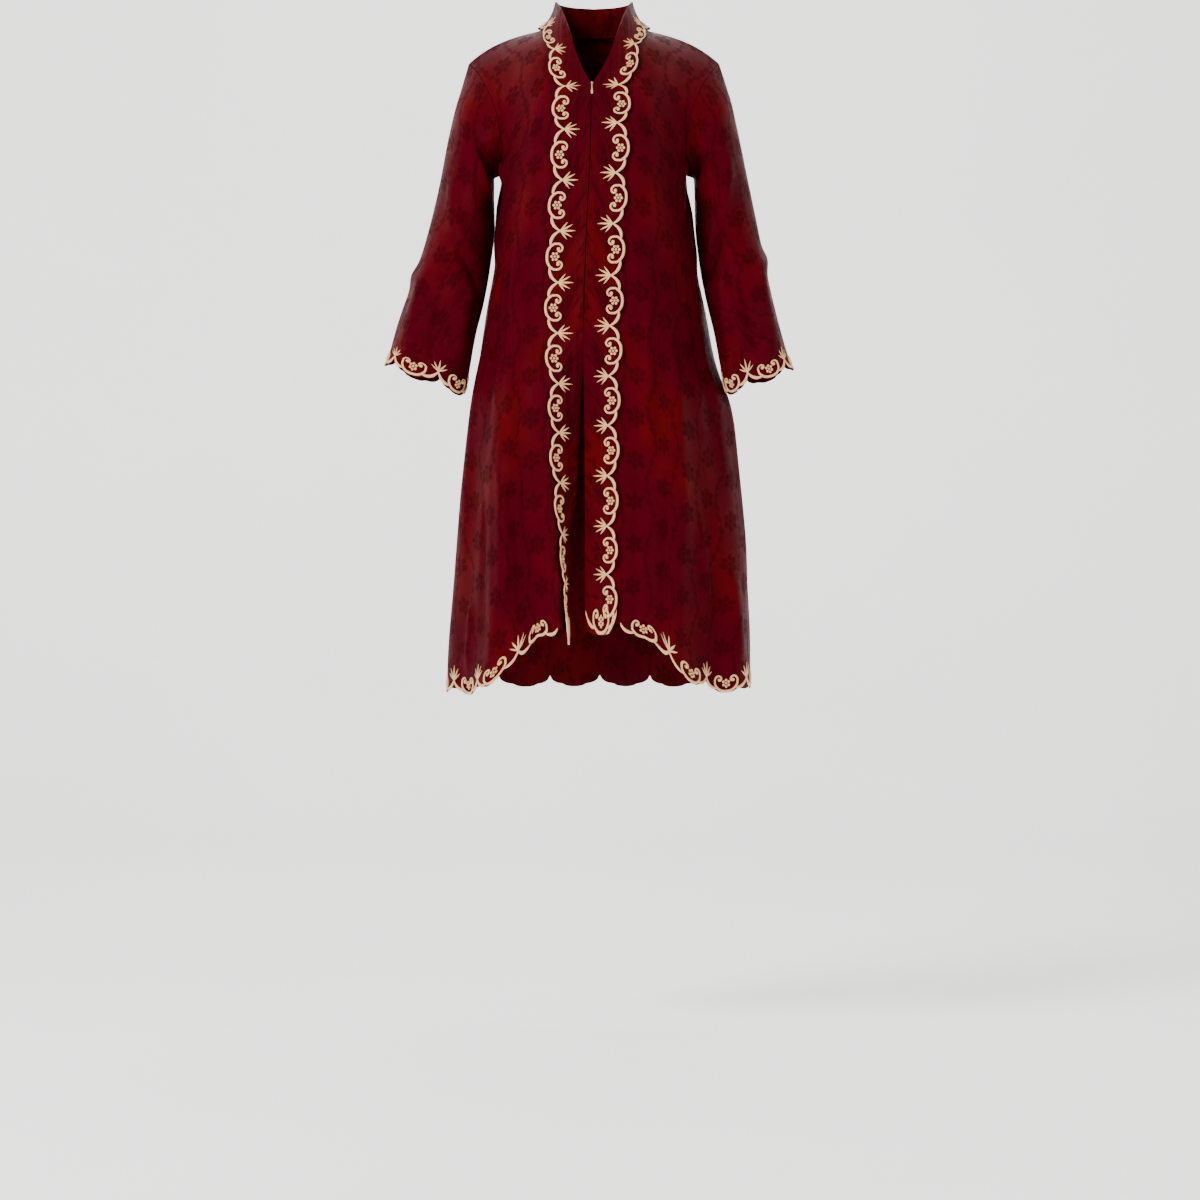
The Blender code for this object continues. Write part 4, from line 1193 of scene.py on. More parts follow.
@dataclass
class Sheet:
    """A sheet of cloth on a surface, with its creases. It builds its shell and reads its flat size."""

    name: str
    surface: Surface
    turn: int
    grids: list[tuple[Array, Array]]
    pace: tuple[float, float] = (1.0, 1.0)
    creases: Sequence[Crease] = ()
    ease: Callable[[Array, Array], Array] | None = None
    period: float = 0.0
    thickness: float = CLOTH
    depth: float = 0.0
    flat: tuple[float, float] = (0.0, 0.0)
    area: float = 0.0
    laid: int = 0

    def worn(self, a: Array, b: Array) -> Array:
        """Points of the creased cloth.

        Args:
            a: First numbers.
            b: Second numbers.

        Returns:
            The points.
        """
        points = self.surface(a, b)
        if not self.creases:
            return points
        around = np.mod(a - 180, self.period) + 180 if self.period else a
        lift = sum(c.lift(around, b, self.pace) for c in self.creases)
        if self.ease:
            lift = lift * self.ease(a, b)
        return points + normals_of(self.surface, a, b, self.turn) * lift[:, None]

    def shell(self, finish: Any) -> bpy.types.Object:
        """Builds the closed thin wall.

        Args:
            finish: The cloth's finish.

        Returns:
            The piece.
        """
        index: dict[tuple[float, float], int] = {}
        pairs, faces, corners = [], [], []
        for a, b in self.grids:
            key_a = np.mod(a, self.period) if self.period else a
            keys = np.stack([np.round(key_a, 6), np.round(b, 7)], axis=-1).reshape(-1, 2)
            numbers = np.empty(len(keys), int)
            for k, key in enumerate(map(tuple, keys)):
                if key not in index:
                    index[key] = len(pairs)
                    pairs.append((a.reshape(-1)[k], b.reshape(-1)[k]))
                numbers[k] = index[key]
            numbers = numbers.reshape(a.shape)
            uv = self.lay_flat(a, b)
            quad = [(0, 0), (0, 1), (1, 1), (1, 0)]
            rows, columns = a.shape
            take = [(slice(i, rows - 1 + i), slice(j, columns - 1 + j)) for i, j in quad]
            faces.append(np.stack([numbers[t] for t in take], axis=-1).reshape(-1, 4))
            corners.append(np.stack([uv[t] for t in take], axis=-2).reshape(-1, 4, 2))
        a, b = np.array(pairs).T
        points = self.worn(a, b)
        faces, corners = np.concatenate(faces), np.concatenate(corners)
        return self.wall(points, faces, corners, finish)

    def lay_flat(self, a: Array, b: Array) -> Array:
        """Metres across and down each grid point, along the cloth, and the sheet's flat size.

        Args:
            a: A grid of first numbers.
            b: A grid of second numbers.

        Returns:
            Two numbers per grid point.
        """
        points = self.worn(a.reshape(-1), b.reshape(-1)).reshape(*a.shape, 3)
        across = np.linalg.norm(np.diff(points, axis=1), axis=2)
        down = np.linalg.norm(np.diff(points, axis=0), axis=2)
        u = np.concatenate([np.zeros((len(a), 1)), np.cumsum(across, axis=1)], axis=1)
        middle = int(np.argmin(np.abs(a[0]))) if not self.period else 0
        u = u - u[:, middle : middle + 1]
        v = np.concatenate([np.zeros((1, a.shape[1])), np.cumsum(down, axis=0)])
        v = v - v[-1:]
        width, length = float(across.sum(axis=1).max()), float(down.sum(axis=0).max())
        cross = np.cross(points[1:, :-1] - points[:-1, :-1], points[:-1, 1:] - points[:-1, :-1])
        area = float(np.linalg.norm(cross, axis=2).sum())
        if self.laid < 2:  # the back's second shoulder lies beside its first
            self.flat = (max(self.flat[0], width), self.flat[1] + length)
        self.laid += 1
        self.area += area
        return np.stack([u, v], axis=-1)

    def wall(self, points: Array, faces: Array, corners: Array, finish: Any) -> bpy.types.Object:
        """Gives the creased sheet its thickness.

        Args:
            points: The middle surface's points.
            faces: Four point numbers per face.
            corners: The cloth's own coordinates at each face's corners.
            finish: The cloth's finish.

        Returns:
            The piece.
        """
        diagonals = np.cross(
            points[faces[:, 2]] - points[faces[:, 0]], points[faces[:, 3]] - points[faces[:, 1]]
        )
        out = np.zeros_like(points)
        for k in range(4):
            np.add.at(out, faces[:, k], diagonals)
        out = unit(out)
        a0, b0 = self.grids[0]
        i, j = a0.shape[0] // 2, a0.shape[1] // 3
        probe = normals_of(self.surface, a0[i, j : j + 1], b0[i, j : j + 1], self.turn)[0]
        spot = self.surface(a0[i, j : j + 1], b0[i, j : j + 1])[0]
        nearest = int(np.argmin(np.linalg.norm(points - spot, axis=1)))
        if out[nearest] @ probe < 0:
            out = -out
            faces, corners = faces[:, ::-1], corners[:, ::-1]
        outer = points - out * (self.depth - self.thickness / 2)
        inner = points - out * (self.depth + self.thickness / 2)
        n = len(points)
        edges = np.concatenate([faces[:, [k, (k + 1) % 4]] for k in range(4)])
        uvs = np.concatenate([corners[:, [k, (k + 1) % 4]] for k in range(4)])
        codes = edges[:, 0] * n + edges[:, 1]
        single = ~np.isin(codes, edges[:, 1] * n + edges[:, 0])
        single &= edges[:, 0] != edges[:, 1]
        p, q = edges[single].T
        rims = np.stack([q, p, p + n, q + n], axis=1)
        rim_uv = uvs[single][:, [1, 0, 0, 1]]
        every = np.concatenate([faces, faces[:, ::-1] + n, rims])
        every_uv = np.concatenate([corners, corners[:, ::-1], rim_uv])
        mesh = bpy.data.meshes.new(self.name + "_cloth")
        mesh.from_pydata(np.vstack([outer, inner]).tolist(), [], every.tolist())
        layer = mesh.uv_layers.new(name="UVMap")
        layer.data.foreach_set("uv", every_uv.astype(np.float32).ravel())
        mesh.validate(clean_customdata=False)
        mesh.shade_smooth()
        mesh.set_sharp_from_angle(angle=math.radians(60))
        return new_object(self.name + "_cloth", mesh, finish.material())

    def guide(self, name: str, a: Array, b: Array, lift: float) -> bpy.types.Object:
        """A hidden strip on the outer face, which the embroidery follows.

        Args:
            name: The guide's name.
            a: A grid of first numbers: its rows go inward from the border, its columns along it.
            b: A grid of second numbers.
            lift: Metres above the middle surface.

        Returns:
            The guide, with a flat map from 0 to 1 both ways, and the outward direction at each point.
        """
        flat_a, flat_b = a.reshape(-1), b.reshape(-1)
        out = normals_of(self.worn, flat_a, flat_b, self.turn)
        points = self.worn(flat_a, flat_b) + out * lift
        return guide_strip(name, points.reshape(*a.shape, 3), out.reshape(*a.shape, 3))


def guide_strip(name: str, points: Array, out: Array) -> bpy.types.Object:
    """A strip of faces with a flat map and its outward directions.

    Args:
        name: The strip's name.
        points: A grid of points.
        out: The outward direction at each.

    Returns:
        The strip, hidden from renders.
    """
    rows, columns = points.shape[:2]
    numbers = np.arange(rows * columns).reshape(rows, columns)
    faces = np.stack(
        [numbers[:-1, :-1], numbers[:-1, 1:], numbers[1:, 1:], numbers[1:, :-1]], axis=-1
    ).reshape(-1, 4)
    mesh = bpy.data.meshes.new(name)
    mesh.from_pydata(points.reshape(-1, 3).tolist(), [], faces.tolist())
    u, v = np.meshgrid(np.linspace(0, 1, columns), np.linspace(0, 1, rows))
    map_points(mesh, np.stack([u.reshape(-1), v.reshape(-1)], axis=1))
    outward = mesh.attributes.new("outward", "FLOAT_VECTOR", "POINT")
    outward.data.foreach_set("vector", out.reshape(-1).astype(np.float32))
    obj = new_object(name, mesh, None)
    obj.hide_render = True
    return obj


# ---------------------------------------------------------------- the embroidery


@dataclass
class Cord:
    """A flattened cord of satin stitch along a line of (along, inward, width) points in millimetres."""

    line: Sequence[tuple[float, float, float]]
    height: float = 1.5
    steps: int = 40
    sides: int = 7

    def rings(self) -> tuple[Array, list[tuple[int, ...]], list[tuple[float, float]]]:
        """Works out the cord's mesh.

        Returns:
            Points in millimetres, faces, and one flat-map pair per point.
        """
        line = np.array(self.line, float)
        run = np.concatenate([[0], np.cumsum(np.linalg.norm(np.diff(line[:, :2], axis=0), axis=1))])
        at = np.linspace(0, run[-1], self.steps)
        path = through(run, line, at)
        forward = unit(np.gradient(path[:, :2], axis=0))
        aside = np.stack([-forward[:, 1], forward[:, 0]], axis=1)
        turns = np.linspace(0, 2 * math.pi, self.sides, endpoint=False) + math.pi / self.sides
        points, flat = [], []
        for (s, y, w), side, d in zip(path, aside, at):
            rise = self.height * min(1.0, 0.35 + w / 5.0)
            for t in turns:
                x, z = math.cos(t) * w / 2, math.sin(t) * rise
                points.append((s + side[0] * x, y + side[1] * x, max(z, -0.25)))
                flat.append((d * MM, t / 6.3))
        faces = []
        n = self.sides
        for k in range(self.steps - 1):
            for e in range(n):
                faces.append((k * n + e, k * n + (e + 1) % n, (k + 1) * n + (e + 1) % n, (k + 1) * n + e))
        last = (self.steps - 1) * n
        faces.append(tuple(range(n - 1, -1, -1)))
        faces.append(tuple(range(last, last + n)))
        return np.array(points), faces, flat


def dome(centre: tuple[float, float], radius: float, height: float) -> tuple[Array, list, list]:
    """A low dome of stitches.

    Args:
        centre: Its place, along and inward, in millimetres.
        radius: Its radius.
        height: Its height.

    Returns:
        Points in millimetres, faces, and one flat-map pair per point.
    """
    points, flat, faces = [], [], []
    sides = 9
    for ring, (share, rise) in enumerate(((1.0, -0.1), (0.86, 0.55), (0.5, 0.9))):
        for k in range(sides):
            t = 2 * math.pi * k / sides
            x, y = math.cos(t) * radius * share, math.sin(t) * radius * share
            points.append((centre[0] + x, centre[1] + y, rise * height))
            flat.append((x * MM, y * MM * 100))
    points.append((centre[0], centre[1], height))
    flat.append((0.0, 0.0))
    for ring in range(2):
        for k in range(sides):
            a, b = ring * sides + k, ring * sides + (k + 1) % sides
            faces.append((a, b, b + sides, a + sides))
    for k in range(sides):
        faces.append((2 * sides + k, 2 * sides + (k + 1) % sides, 3 * sides))
    faces.append(tuple(range(sides - 1, -1, -1)))
    return np.array(points), faces, flat


@dataclass
class Embroidery:
    """The cream border: scrolls, flowers and sprigs, worked once and repeated along each edge."""

    reach: float = 50.0
    below: float = 4.0
    scallops: Scallops = field(default_factory=Scallops)

    def motif(self, name: str, parts: list[tuple[Array, list, list]]) -> bpy.types.Object:
        """Joins stitched shapes into one hidden motif. Its x is in repeats, and y and z in metres.

        Args:
            name: The motif's name.
            parts: Points, faces and flat maps.

        Returns:
            The motif.
        """
        points, faces, flat, start = [], [], [], 0
        for p, f, m in parts:
            points.append(p)
            flat += m
            faces += [tuple(k + start for k in face) for face in f]
            start += len(p)
        every = np.vstack(points) * [MM / self.scallops.repeat, MM, MM]
        mesh = bpy.data.meshes.new(name)
        mesh.from_pydata(every.tolist(), [], faces)
        map_points(mesh, np.array(flat))
        mesh.shade_smooth()
        obj = new_object(name, mesh, THREAD.material())
        obj.hide_render = True
        return obj

    def scroll(self) -> bpy.types.Object:
        """The scroll round its six-petalled flower, with the two short arcs beside it.

        Returns:
            The hidden motif.
        """
        half = [
            (0.0, 2.3, 4.6), (6.0, 2.9, 4.7), (11.0, 4.8, 4.6), (15.4, 8.6, 4.3), (18.2, 13.6, 4.1),
            (18.2, 18.6, 3.9), (15.9, 22.8, 3.7), (12.0, 24.6, 3.5), (8.4, 23.2, 3.4), (7.2, 20.3, 3.6),
            (9.2, 18.1, 4.2), (11.0, 18.6, 4.4),
        ]
        half = [(s, y, 0.86 * w) for s, y, w in half]
        line = [(-s, y, w) for s, y, w in half[:0:-1]] + half
        parts = [Cord(line, 1.6, 60).rings()]
        for sign in (-1, 1):
            arc = [
                (15.2, 7.4, 2.4), (18.5, 6.9, 3.9), (22.5, 7.4, 5.0), (26.6, 8.9, 5.4), (30.4, 11.4, 5.0),
                (33.6, 14.9, 3.9), (36.0, 18.6, 2.9), (38.2, 22.4, 1.6),
            ]
            parts.append(Cord([(sign * s, y, 0.9 * w) for s, y, w in arc], 1.5, 20).rings())
            parts.append(dome((sign * 10.9, 18.7), 2.6, 2.2))
        for k in range(6):
            t = math.radians(60 * k + 30)
            parts.append(dome((4.7 * math.cos(t), 13.8 + 4.7 * math.sin(t)), 2.15, 1.6))
        parts.append(dome((0.0, 13.8), 1.9, 2.2))
        return self.motif("scroll_motif", parts)

    def sprig(self) -> bpy.types.Object:
        """The sprig of five leaves that grows from each cusp.

        Returns:
            The hidden motif.
        """
        parts = [Cord([(0, 16.5, 2.4), (0, 21.0, 3.4), (0, 26.0, 3.6), (0, 30.0, 2.4)], 1.6, 9).rings()]
        for angle, length, width in (
            (0, 22.0, 2.9), (29, 18.5, 2.8), (-29, 18.5, 2.8), (56, 15.0, 2.7), (-56, 15.0, 2.7)
        ):
            s, c = math.sin(math.radians(angle)), math.cos(math.radians(angle))
            base, bend = 20.5, 0.9
            line = []
            for share, wide in ((0.0, 1.6), (0.3, 0.95), (0.55, 1.0), (0.8, 0.62), (1.0, 0.16)):
                reach = length * share
                x = s * reach * (bend + 0.1 * share)
                y = base + c * reach + abs(s) * reach * 0.12 * share
                line.append((x, y, width * wide if share else 1.6))
            parts.append(Cord(line, 1.35, 9, 6).rings())
        return self.motif("sprig_motif", parts)

    def tree(self) -> bpy.types.GeometryNodeTree:
        """The tree that repeats a motif along a guide and lays it on the cloth.

        Returns:
            The tree. Its inputs are the guide, the motif, the number of repeats, the place of the
            first and the guide's length in repeats, its depth, how much of that lies outside the
            scallops' tops, 1 if its end meets its start, and the thread.
        """
        tree = bpy.data.node_groups.new("border_stitching", "GeometryNodeTree")
        face = tree.interface
        face.new_socket(name="Geometry", in_out="INPUT", socket_type="NodeSocketGeometry")
        for name, kind in (
            ("Guide", "NodeSocketObject"), ("Motif", "NodeSocketObject"), ("Count", "NodeSocketInt"),
            ("First", "NodeSocketFloat"), ("Places", "NodeSocketFloat"), ("Depth", "NodeSocketFloat"),
            ("Below", "NodeSocketFloat"), ("Closed", "NodeSocketFloat"),
            ("Thread", "NodeSocketMaterial"),
        ):
            face.new_socket(name=name, in_out="INPUT", socket_type=kind)
        face.new_socket(name="Geometry", in_out="OUTPUT", socket_type="NodeSocketGeometry")
        nodes = Nodes(tree)
        given = nodes.add("NodeGroupInput").outputs
        guide = nodes.add("GeometryNodeObjectInfo", in0=given["Guide"])
        motif = nodes.add("GeometryNodeObjectInfo", in0=given["Motif"])
        start = nodes.add("ShaderNodeCombineXYZ", X=given["First"])
        line = nodes.add(
            "GeometryNodeMeshLine",
            Count=given["Count"], Start_Location=start.outputs[0], Offset=(1.0, 0, 0),
        )
        placed = nodes.add(
            "GeometryNodeInstanceOnPoints", Points=line.outputs[0], Instance=motif.outputs["Geometry"]
        )
        real = nodes.add("GeometryNodeRealizeInstances", Geometry=placed.outputs[0])
        where = nodes.add("GeometryNodeInputPosition")
        parts = nodes.add("ShaderNodeSeparateXYZ", Vector=where.outputs[0])
        x, y, z = (Field(nodes, parts.outputs[k]) for k in range(3))
        turns = x / given["Places"]
        held = turns.math("MAXIMUM", 0.0005).math("MINIMUM", 0.9995)
        across = held + (turns % 1.0 - held) * given["Closed"]
        inward = ((y + given["Below"]) / given["Depth"]).math("MAXIMUM", 0.0005).math("MINIMUM", 0.9995)
        spot = nodes.add("ShaderNodeCombineXYZ", X=across, Y=inward)
        flat_map = nodes.add("GeometryNodeInputNamedAttribute", {"data_type": "FLOAT_VECTOR"}, Name="UVMap")
        out = nodes.add("GeometryNodeInputNamedAttribute", {"data_type": "FLOAT_VECTOR"}, Name="outward")
        position = nodes.add("GeometryNodeInputPosition")
        found = []
        for value in (position.outputs[0], out.outputs[0]):
            sample = nodes.add("GeometryNodeSampleUVSurface", {"data_type": "FLOAT_VECTOR"})
            nodes.put(sample.inputs["Mesh"], guide.outputs["Geometry"])
            nodes.put(next(s for s in sample.inputs if s.name == "Value" and s.enabled), value)
            nodes.put(sample.inputs["Source UV Map"], flat_map.outputs[0])
            nodes.put(sample.inputs["Sample UV"], spot.outputs[0])
            found.append(next(s for s in sample.outputs if s.name == "Value" and s.enabled))
        lifted = nodes.add("ShaderNodeVectorMath", {"operation": "SCALE"}, Vector=found[1])
        nodes.put(lifted.inputs["Scale"], z)
        total = nodes.add("ShaderNodeVectorMath", {"operation": "ADD"}, in0=found[0], in1=lifted.outputs[0])
        moved = nodes.add("GeometryNodeSetPosition", Geometry=real.outputs[0], Position=total.outputs[0])
        again = nodes.add("GeometryNodeRealizeInstances", Geometry=moved.outputs[0])
        dressed = nodes.add("GeometryNodeSetMaterial", Geometry=again.outputs[0], Material=given["Thread"])
        nodes.add("NodeGroupOutput", Geometry=dressed.outputs[0])
        return tree

    def stitch(
        self,
        name: str,
        guide: bpy.types.Object,
        places: float,
        sprigs: tuple[int, int],
        closed: bool = False,
    ) -> bpy.types.Object:
        """Works the border along one guide.

        Args:
            name: The piece's name.
            guide: The guide strip.
            places: The guide's length, in repeats.
            sprigs: The first sprig's place and how many sprigs there are.
            closed: Whether the guide's end meets its start.

        Returns:
            The embroidered piece, as a plain mesh.
        """
        meshes = []
        whole = int(math.floor(places + 1e-6))
        for motif, first, count in (("scroll_motif", 0.5, whole), ("sprig_motif", *sprigs)):
            if not count:
                continue
            holder = new_object(name + "_holder", bpy.data.meshes.new(name), None)
            modifier = holder.modifiers.new("border", "NODES")
            modifier.node_group = bpy.data.node_groups["border_stitching"]
            values = {
                "Guide": guide, "Motif": bpy.data.objects[motif], "Count": count, "First": float(first),
                "Places": float(places), "Depth": (self.reach + self.below) * MM, "Below": self.below * MM,
                "Closed": float(closed), "Thread": THREAD.material(),
            }
            for item in modifier.node_group.interface.items_tree:
                if item.item_type == "SOCKET" and item.in_out == "INPUT" and item.name in values:
                    modifier[item.identifier] = values[item.name]
            holder.update_tag()
            bpy.context.view_layer.update()
            evaluated = holder.evaluated_get(bpy.context.evaluated_depsgraph_get())
            meshes.append(bpy.data.meshes.new_from_object(evaluated))
            holder.modifiers.remove(modifier)
            bpy.data.objects.remove(holder, do_unlink=True)
        return self.joined(name, meshes)

    def joined(self, name: str, meshes: Sequence[bpy.types.Mesh]) -> bpy.types.Object:
        """Joins plain meshes into one piece.

        Args:
            name: The piece's name.
            meshes: The meshes, each with the same flat map.

        Returns:
            The piece.
        """
        points, faces, flat, start = [], [], [], 0
        for mesh in meshes:
            co = np.empty(len(mesh.vertices) * 3, np.float32)
            mesh.vertices.foreach_get("co", co)
            uv = np.empty(len(mesh.loops) * 2, np.float32)
            mesh.uv_layers["UVMap"].data.foreach_get("uv", uv)
            faces += [tuple(v + start for v in p.vertices) for p in mesh.polygons]
            points.append(co.reshape(-1, 3))
            flat.append(uv)
            start += len(mesh.vertices)
        made = bpy.data.meshes.new(name)
        made.from_pydata(np.vstack(points).tolist(), [], faces)
        made.uv_layers.new(name="UVMap").data.foreach_set("uv", np.concatenate(flat))
        made.shade_smooth()
        return new_object(name, made, THREAD.material())


def inward_steps(border: Embroidery, rows: int = 12) -> Array:
    """Metres inward from the scallops' tops, from just outside them to the end of the sprigs."""
    return np.linspace(-border.below, border.reach, rows) * MM


# ---------------------------------------------------------------- the garment's pieces


def sided(piece: str, side: Side) -> str:
    """The node name of one side's piece."""
    return f"{piece}_{side.name.lower()}"


@dataclass
class Front:
    """A front, from its scalloped hem to the shoulder seam, and on under its band to its edge."""

    side: Side
    columns: int = 96
    rows: int = 210
    repeats: int = 4
    creases: Sequence[Crease] = ()

    def hem(self, across: Array) -> Array:
        """The level of the hem's cusps at these shares across."""
        heights = [h.left if self.side is Side.LEFT else h.right for h in FRONT_HEM]
        return through([h.across for h in FRONT_HEM], heights, np.clip(across, 0, 1))[:, 0]

    def sheet(self) -> Sheet:
        """Lays out the front's cloth.

        Returns:
            The sheet.
        """
        inside = np.linspace(0, 1, self.columns + 1)
        inside[-1] = ROW_END
        edge = np.linspace(EDGE_INSET / BAND_WIDTH - 1, 0, 14)[:-1]
        across = np.concatenate([edge, inside])
        reach = np.where(across < 0, 0, SCALLOPS.reach(np.clip(across, 0, 1) * self.repeats))
        low = self.hem(across) - reach
        share = np.linspace(0, 1, self.rows)[:, None]
        level = low + (yoke_level(TOP_SHARE) - low) * share
        grid = (spread(across, level), level)

        def ease(a: Array, b: Array) -> Array:
            """Lets the creases die out at the seams and under the band."""
            top = smooth((yoke_level(1.0) - b) / 0.02)
            return smooth(a / 0.07) * smooth((1 - a) / 0.05) * top

        surface = partial(SHAPE.front, self.side)
        return Sheet(
            sided("front", self.side), surface, self.side.value, [grid], (0.26, 1.0), self.creases, ease
        )

    def border(self, sheet: Sheet, border: Embroidery) -> bpy.types.Object:
        """Embroiders the hem.

        Args:
            sheet: The front's cloth.
            border: The embroidery.

        Returns:
            The embroidered piece.
        """
        across = np.linspace(0.0, ROW_END, 161)
        inward = inward_steps(border)[:, None]
        level = self.hem(across) - SCALLOPS.wide_depth + inward
        a = spread(across, level)
        guide = sheet.guide(sheet.name + "_hem_guide", a, level, CLOTH / 2)
        return border.stitch(sheet.name + "_hem_embroidery", guide, self.repeats, (1, self.repeats - 1))


@dataclass
class Back:
    """The back, in one piece, with the neckline between its shoulders."""

    columns: int = 96
    rows: int = 170
    repeats: int = 8
    creases: Sequence[Crease] = ()

    def sheet(self) -> Sheet:
        """Lays out the back's cloth.

        Returns:
            The sheet.
        """
        half = np.linspace(0, 1, self.columns + 1)
        half[-1] = ROW_END
        across = np.concatenate([-half[::-1], half[1:]])
        low = BACK_HEM_Z - SCALLOPS.reach((across + 1) / 2 * self.repeats)
        neck = yoke_level(NECK_SHARE)
        share = np.linspace(0, 1, self.rows)[:, None]
        level = low + (neck - low) * share
        grids = [(spread(across, level), level)]
        shares = np.linspace(NECK_SHARE, TOP_SHARE, 22)[:, None]
        for sign in (-1, 1):
            a = np.broadcast_to(half, (22, len(half))).copy() * sign
            a[1:, 0] = sign * 1e-4
            b = spread(yoke_level(shares), a)
            grids.append((a, b) if sign > 0 else (a[:, ::-1], b[:, ::-1]))

        def ease(a: Array, b: Array) -> Array:
            """Lets the creases die out at the seams and under the neck band."""
            return smooth((1 - np.abs(a)) / 0.05) * smooth((yoke_level(0.86) - b) / 0.03)

        return Sheet("back", SHAPE.back, -1, grids, (0.30, 1.0), self.creases, ease)

    def border(self, sheet: Sheet, border: Embroidery) -> bpy.types.Object:
        """Embroiders the hem.

        Args:
            sheet: The back's cloth.
            border: The embroidery.

        Returns:
            The embroidered piece.
        """
        across = np.linspace(ROW_END, -ROW_END, 321)
        level = BACK_HEM_Z - SCALLOPS.wide_depth + inward_steps(border)[:, None] + 0 * across
        a = spread(across, level)
        guide = sheet.guide("back_hem_guide", a, level, CLOTH / 2)
        return border.stitch("back_hem_embroidery", guide, self.repeats, (1, self.repeats - 1))


@dataclass
class Sleeve:
    """A sleeve, a flared tube from the armhole to its scalloped cuff."""

    side: Side
    columns: int = 120
    rows: int = 120
    repeats: int = 5
    creases: Sequence[Crease] = ()

    def sheet(self) -> Sheet:
        """Lays out the sleeve's cloth.

        Returns:
            The sheet.
        """
        angle = np.linspace(180, 540, self.columns + 1)
        under = (1 - np.cos(np.radians(angle))) / 2
        top = 0.0014 + 0.0050 * under**2
        per_metre = (SLEEVE_RINGS[self.side][-1].along - 1.0) / CUFF_EXTENSION
        low = 1.0 + SCALLOPS.reach((angle - 180) / 360 * self.repeats) * per_metre
        share = np.linspace(0, 1, self.rows)[:, None]
        along = top + (low - top) * share

        def ease(a: Array, b: Array) -> Array:
            """Lets the creases die out at the armhole seam."""
            return smooth((b - 0.015) / 0.08)

        grid = (spread(angle, along), along)
        name, surface = sided("sleeve", self.side), partial(SHAPE.sleeve, self.side)
        return Sheet(name, surface, self.side.value, [grid], (0.0010, 0.48), self.creases, ease, 360.0)

    def border(self, sheet: Sheet, border: Embroidery) -> bpy.types.Object:
        """Embroiders the cuff.

        Args:
            sheet: The sleeve's cloth.
            border: The embroidery.

        Returns:
            The embroidered piece.
        """
        turn = np.linspace(180, 540, 201)
        angle = turn if self.side is Side.LEFT else turn[::-1]
        per_metre = (SLEEVE_RINGS[self.side][-1].along - 1.0) / CUFF_EXTENSION
        outward = SCALLOPS.wide_depth - inward_steps(border)[:, None]
        along = 1.0 + np.where(outward > 0, outward * per_metre, outward / SLEEVE_LENGTH) + 0 * angle
        a = spread(angle, along)
        guide = sheet.guide(sheet.name + "_cuff_guide", a, along, CLOTH / 2)
        return border.stitch(
            sheet.name + "_cuff_embroidery", guide, self.repeats, (0, self.repeats), closed=True
        )


